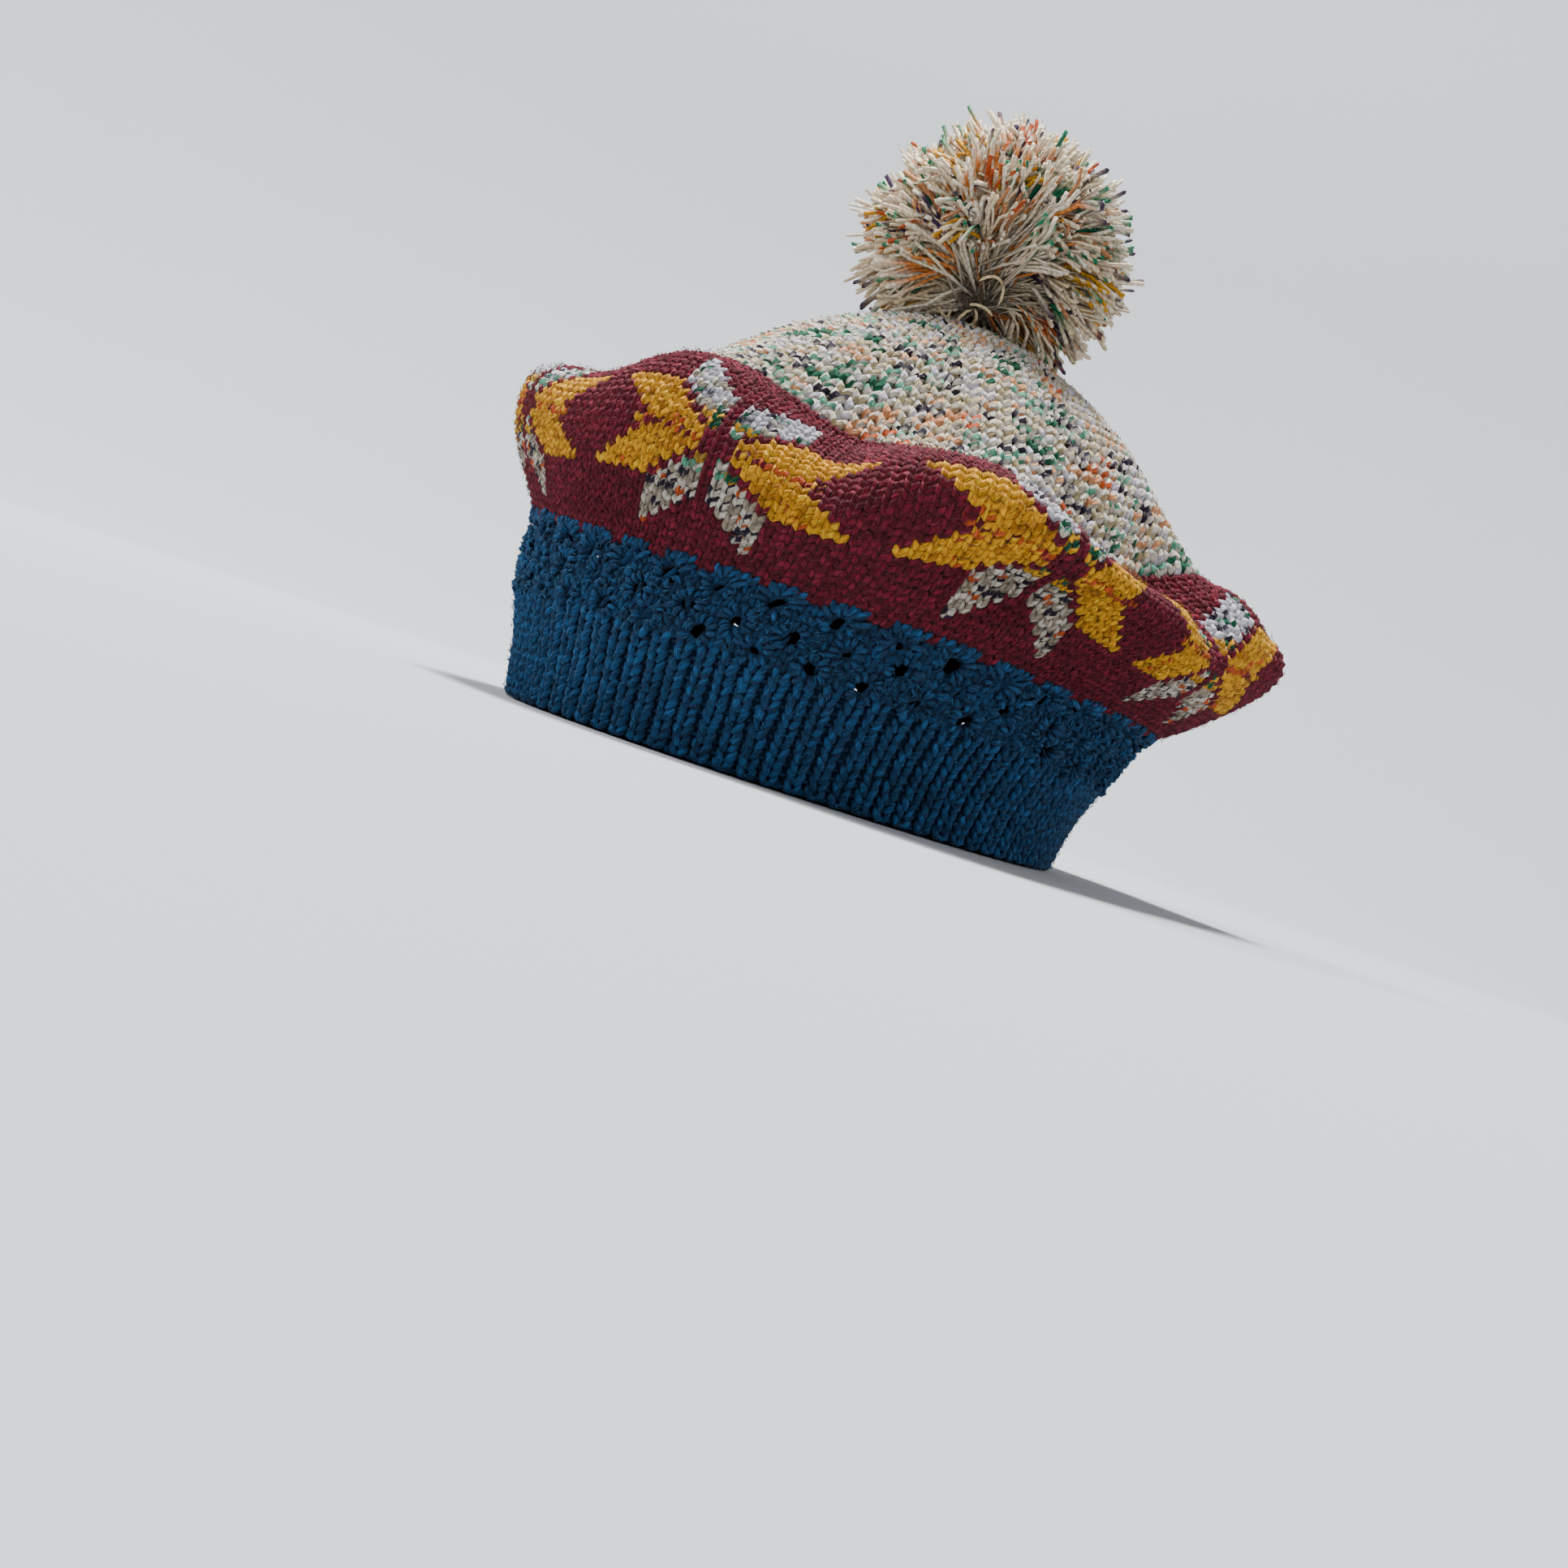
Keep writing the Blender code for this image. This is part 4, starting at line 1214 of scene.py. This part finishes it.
def add_loops(piece, rng):
    """A few thin strands that were missed by the shears and curl back to the tie."""
    count, rings = 6, 9
    side = unit(np.cross(HUB_WAY, (0.0, 0.0, 1.0)))
    other = np.cross(side, HUB_WAY)
    radius = rng.uniform(3.0, 6.5, (count, 1, 1)) * MM * np.linspace(0.7, 1.3, rings)[None, :, None]
    middle = HUB + HUB_WAY * 3.5 * MM + 4.0 * MM * rng.normal(0, 1, (count, 1, 3))
    begin, sweep = rng.uniform(0, 6.3, (count, 1, 1)), rng.uniform(1.8, 3.6, (count, 1, 1))
    turn = begin + sweep * np.linspace(0, 1, rings)[None, :, None]
    lean = rng.uniform(-0.8, 0.8, (2, count, 1, 1))
    path = middle + radius * np.cos(turn) * (side + lean[0] * HUB_WAY)
    path = path + radius * np.sin(turn) * (other + lean[1] * HUB_WAY)
    across = np.full((count, rings), LOOP_YARN)
    shade = dye("cut_beige") * rng.uniform(0.8, 1.1, (count, 1))
    add_strands(piece, path, np.broadcast_to(HUB_WAY, path.shape), across, across, shade, shade, 5)


# Stretches of dye on the cut strands: how many strands have it, and from which ring to which
STRETCHES = (
    # share, dye, first, last
    (0.13, "cut_orange", 1, 5),
    (0.06, "orange", 4, 7),
    (0.13, "cut_green", 5, 7),
    (0.11, "cut_green", 3, 5),
    (0.14, "cut_aubergine", 5, 7),
    (0.10, "cut_aubergine", 3, 5),
    (0.07, "mustard", 3, 6),
    (0.10, "peach", 3, 6),
)


def strand_colours(rng):
    """Ply colours along each cut strand: cream and beige, with stretches of dye, most by the lock."""
    mixed = by_strand(rng.uniform(0, 1, (LOCKS, 1, 1))) * 0.5
    mixed = mixed + 0.5 * rng.uniform(0, 1, (STRANDS, 1, 1))
    base = dye("cut_beige") + (dye("cut_cream") - dye("cut_beige")) * mixed
    one = np.repeat(base, len(STRAND), axis=1)
    two = np.repeat(0.6 * base + 0.4 * dye("cut_beige"), len(STRAND), axis=1)
    by_lock = by_strand(rng.uniform(0, 1, LOCKS)), rng.uniform(0, 1, STRANDS) < 0.55
    alone = rng.uniform(0, 1, STRANDS), rng.uniform(0, 1, STRANDS) < 0.22
    for picked, taken in (alone, by_lock):
        low = 0.0
        for share, name, first, last in STRETCHES:
            own = (picked >= low) & (picked < low + share) & taken
            low += share
            one[own, first:last] = dye(name)
            both = own & (rng.uniform(0, 1, STRANDS) < 0.7)
            two[both, first:last] = dye(name)
    return one, two


def add_core(piece):
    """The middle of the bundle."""
    wide, high = 28, 14
    around = 2 * math.pi * np.arange(wide) / wide
    turn, rise = np.meshgrid(around, np.linspace(-1.45, 1.45, high + 1), indexing="ij")
    ways = np.stack([np.cos(turn) * np.cos(rise), np.sin(turn) * np.cos(rise), np.sin(rise)], -1)
    middle = BALL_MIDDLE - 6.0 * MM * HUB_WAY
    outer = middle + ways * (ball_reach(ways) * 0.56)[..., None]
    inner = middle + ways * (ball_reach(ways) * 0.45)[..., None]
    # Painted shade: the core is as dark as the shade deep between the strands
    shade = np.broadcast_to(dye("grey_cream") * 0.35, outer.shape)
    add_ground(piece, turn, rise, outer, inner, shade, np.ones((wide, high), bool))


def matt_emulsion(name):
    """Matt emulsion paint, rolled on a smooth board: even, with a very slight mottle."""
    material, tree, shader = start_material(name, {"Roughness": 0.9, "Specular IOR Level": 0.2})
    mottle = add(tree, "ShaderNodeTexNoise", {"Scale": 6.0, "Detail": 3.0})
    tone = add(tree, "ShaderNodeMapRange", {"Value": mottle.outputs[0], "To Min": 0.97, "To Max": 1.03})
    colour = {0: tuple(dye(name)), "Scale": tone.outputs[0]}
    toned = add(tree, "ShaderNodeVectorMath", colour, operation="SCALE")
    tree.links.new(toned.outputs[0], shader.inputs["Base Color"])
    return material


# A round room of one pale paint: flat floor, a wide curve, and a wall that the light comes over
ROOM_RADIUS = 1.7
ROOM_CURVE = 0.8
ROOM_HEIGHT = 2.6
ROOM_SIDES = 96
CURVE_STEPS = 16


def add_room():
    """A pale floor that curves up into a pale wall, so that no edge shows behind the hat."""
    flat = ROOM_RADIUS - ROOM_CURVE
    profile = [(flat, 0.0)]
    for step in range(1, CURVE_STEPS + 1):
        turn = math.pi / 2 * step / CURVE_STEPS
        profile.append((flat + ROOM_CURVE * math.sin(turn), ROOM_CURVE * (1 - math.cos(turn))))
    profile.append((ROOM_RADIUS, ROOM_HEIGHT))
    points = [(0.0, 0.0, 0.0)]
    for radius, height in profile:
        for index in range(ROOM_SIDES):
            turn = 2 * math.pi * index / ROOM_SIDES
            points.append((radius * math.cos(turn), radius * math.sin(turn), height))
    after = [(index + 1) % ROOM_SIDES for index in range(ROOM_SIDES)]
    faces = [(0, 1 + index, 1 + after[index]) for index in range(ROOM_SIDES)]
    for ring in range(len(profile) - 1):
        low, high = 1 + ring * ROOM_SIDES, 1 + (ring + 1) * ROOM_SIDES
        for index in range(ROOM_SIDES):
            faces.append((low + index, high + index, high + after[index], low + after[index]))
    mesh = bpy.data.meshes.new("pale_room")
    mesh.from_pydata(points, [], faces)
    mesh.shade_smooth()
    mesh.materials.append(matt_emulsion("room_paint"))
    room = bpy.data.objects.new("pale_room", mesh)
    bpy.context.scene.collection.objects.link(room)


def add_light(name, place, size, power, target=(0.0, 0.0, 0.09)):
    """A large soft panel that shines at the hat."""
    lamp = bpy.data.lights.new(name, "AREA")
    lamp.shape = "DISK"
    lamp.size = size
    lamp.energy = power
    made = bpy.data.objects.new(name, lamp)
    made.location = place
    made.rotation_euler = (Vector(target) - Vector(place)).to_track_quat("-Z", "Y").to_euler()
    bpy.context.scene.collection.objects.link(made)


def add_studio():
    """Soft light from above and from the left of the picture, in a dim room."""
    add_light("ceiling_panel", (-0.40, 0.25, 2.2), 0.5, 172.0)
    add_light("key_panel", (-0.80, -0.36, 1.25), 0.30, 17.0)
    world = bpy.data.worlds.new("dim_room")
    world.use_nodes = True
    backdrop = world.node_tree.nodes["Background"]
    backdrop.inputs["Color"].default_value = (0.80, 0.82, 0.85, 1.0)
    backdrop.inputs["Strength"].default_value = 0.30
    bpy.context.scene.world = world


# The photo's view of the hat: azimuth, distance to the rim's middle and tilt of the picture are
# measured on the rim's curve. The photo looks up from 14 degrees below the rim, and the camera
# here stays as close to that as the floor allows.
VIEW_AZIMUTH = 31.1
VIEW_ELEVATION = 1.5
VIEW_DISTANCE = 0.485
VIEW_ROLL = -18.4

# The photo's width and the lens's distance from it, in pixels
PHOTO_WIDTH = 1932.0
LENS_DISTANCE = 1936.0


def add_camera():
    """A camera with the photo's angle of view, on a 36 mm sensor."""
    azimuth, elevation = math.radians(VIEW_AZIMUTH), math.radians(VIEW_ELEVATION)
    back = Vector((
        math.sin(azimuth) * math.cos(elevation),
        -math.cos(azimuth) * math.cos(elevation),
        math.sin(elevation),
    ))
    lens = bpy.data.cameras.new("photo_camera")
    lens.sensor_width = 36.0
    lens.lens = lens.sensor_width * LENS_DISTANCE / PHOTO_WIDTH
    lens.clip_start = 0.01
    lens.clip_end = 60.0
    camera = bpy.data.objects.new("photo_camera", lens)
    aim = back.to_track_quat("Z", "Y").to_matrix().to_4x4()
    roll = Matrix.Rotation(math.radians(-VIEW_ROLL), 4, "Z")
    camera.matrix_world = Matrix.Translation(Vector(RIM_MIDDLE) + back * VIEW_DISTANCE) @ aim @ roll
    bpy.context.scene.collection.objects.link(camera)
    bpy.context.scene.camera = camera


add_camera()
add_room()
add_studio()
knit_ribs()
knit_openwork()
knit_side()
knit_crown()
make_pompom()
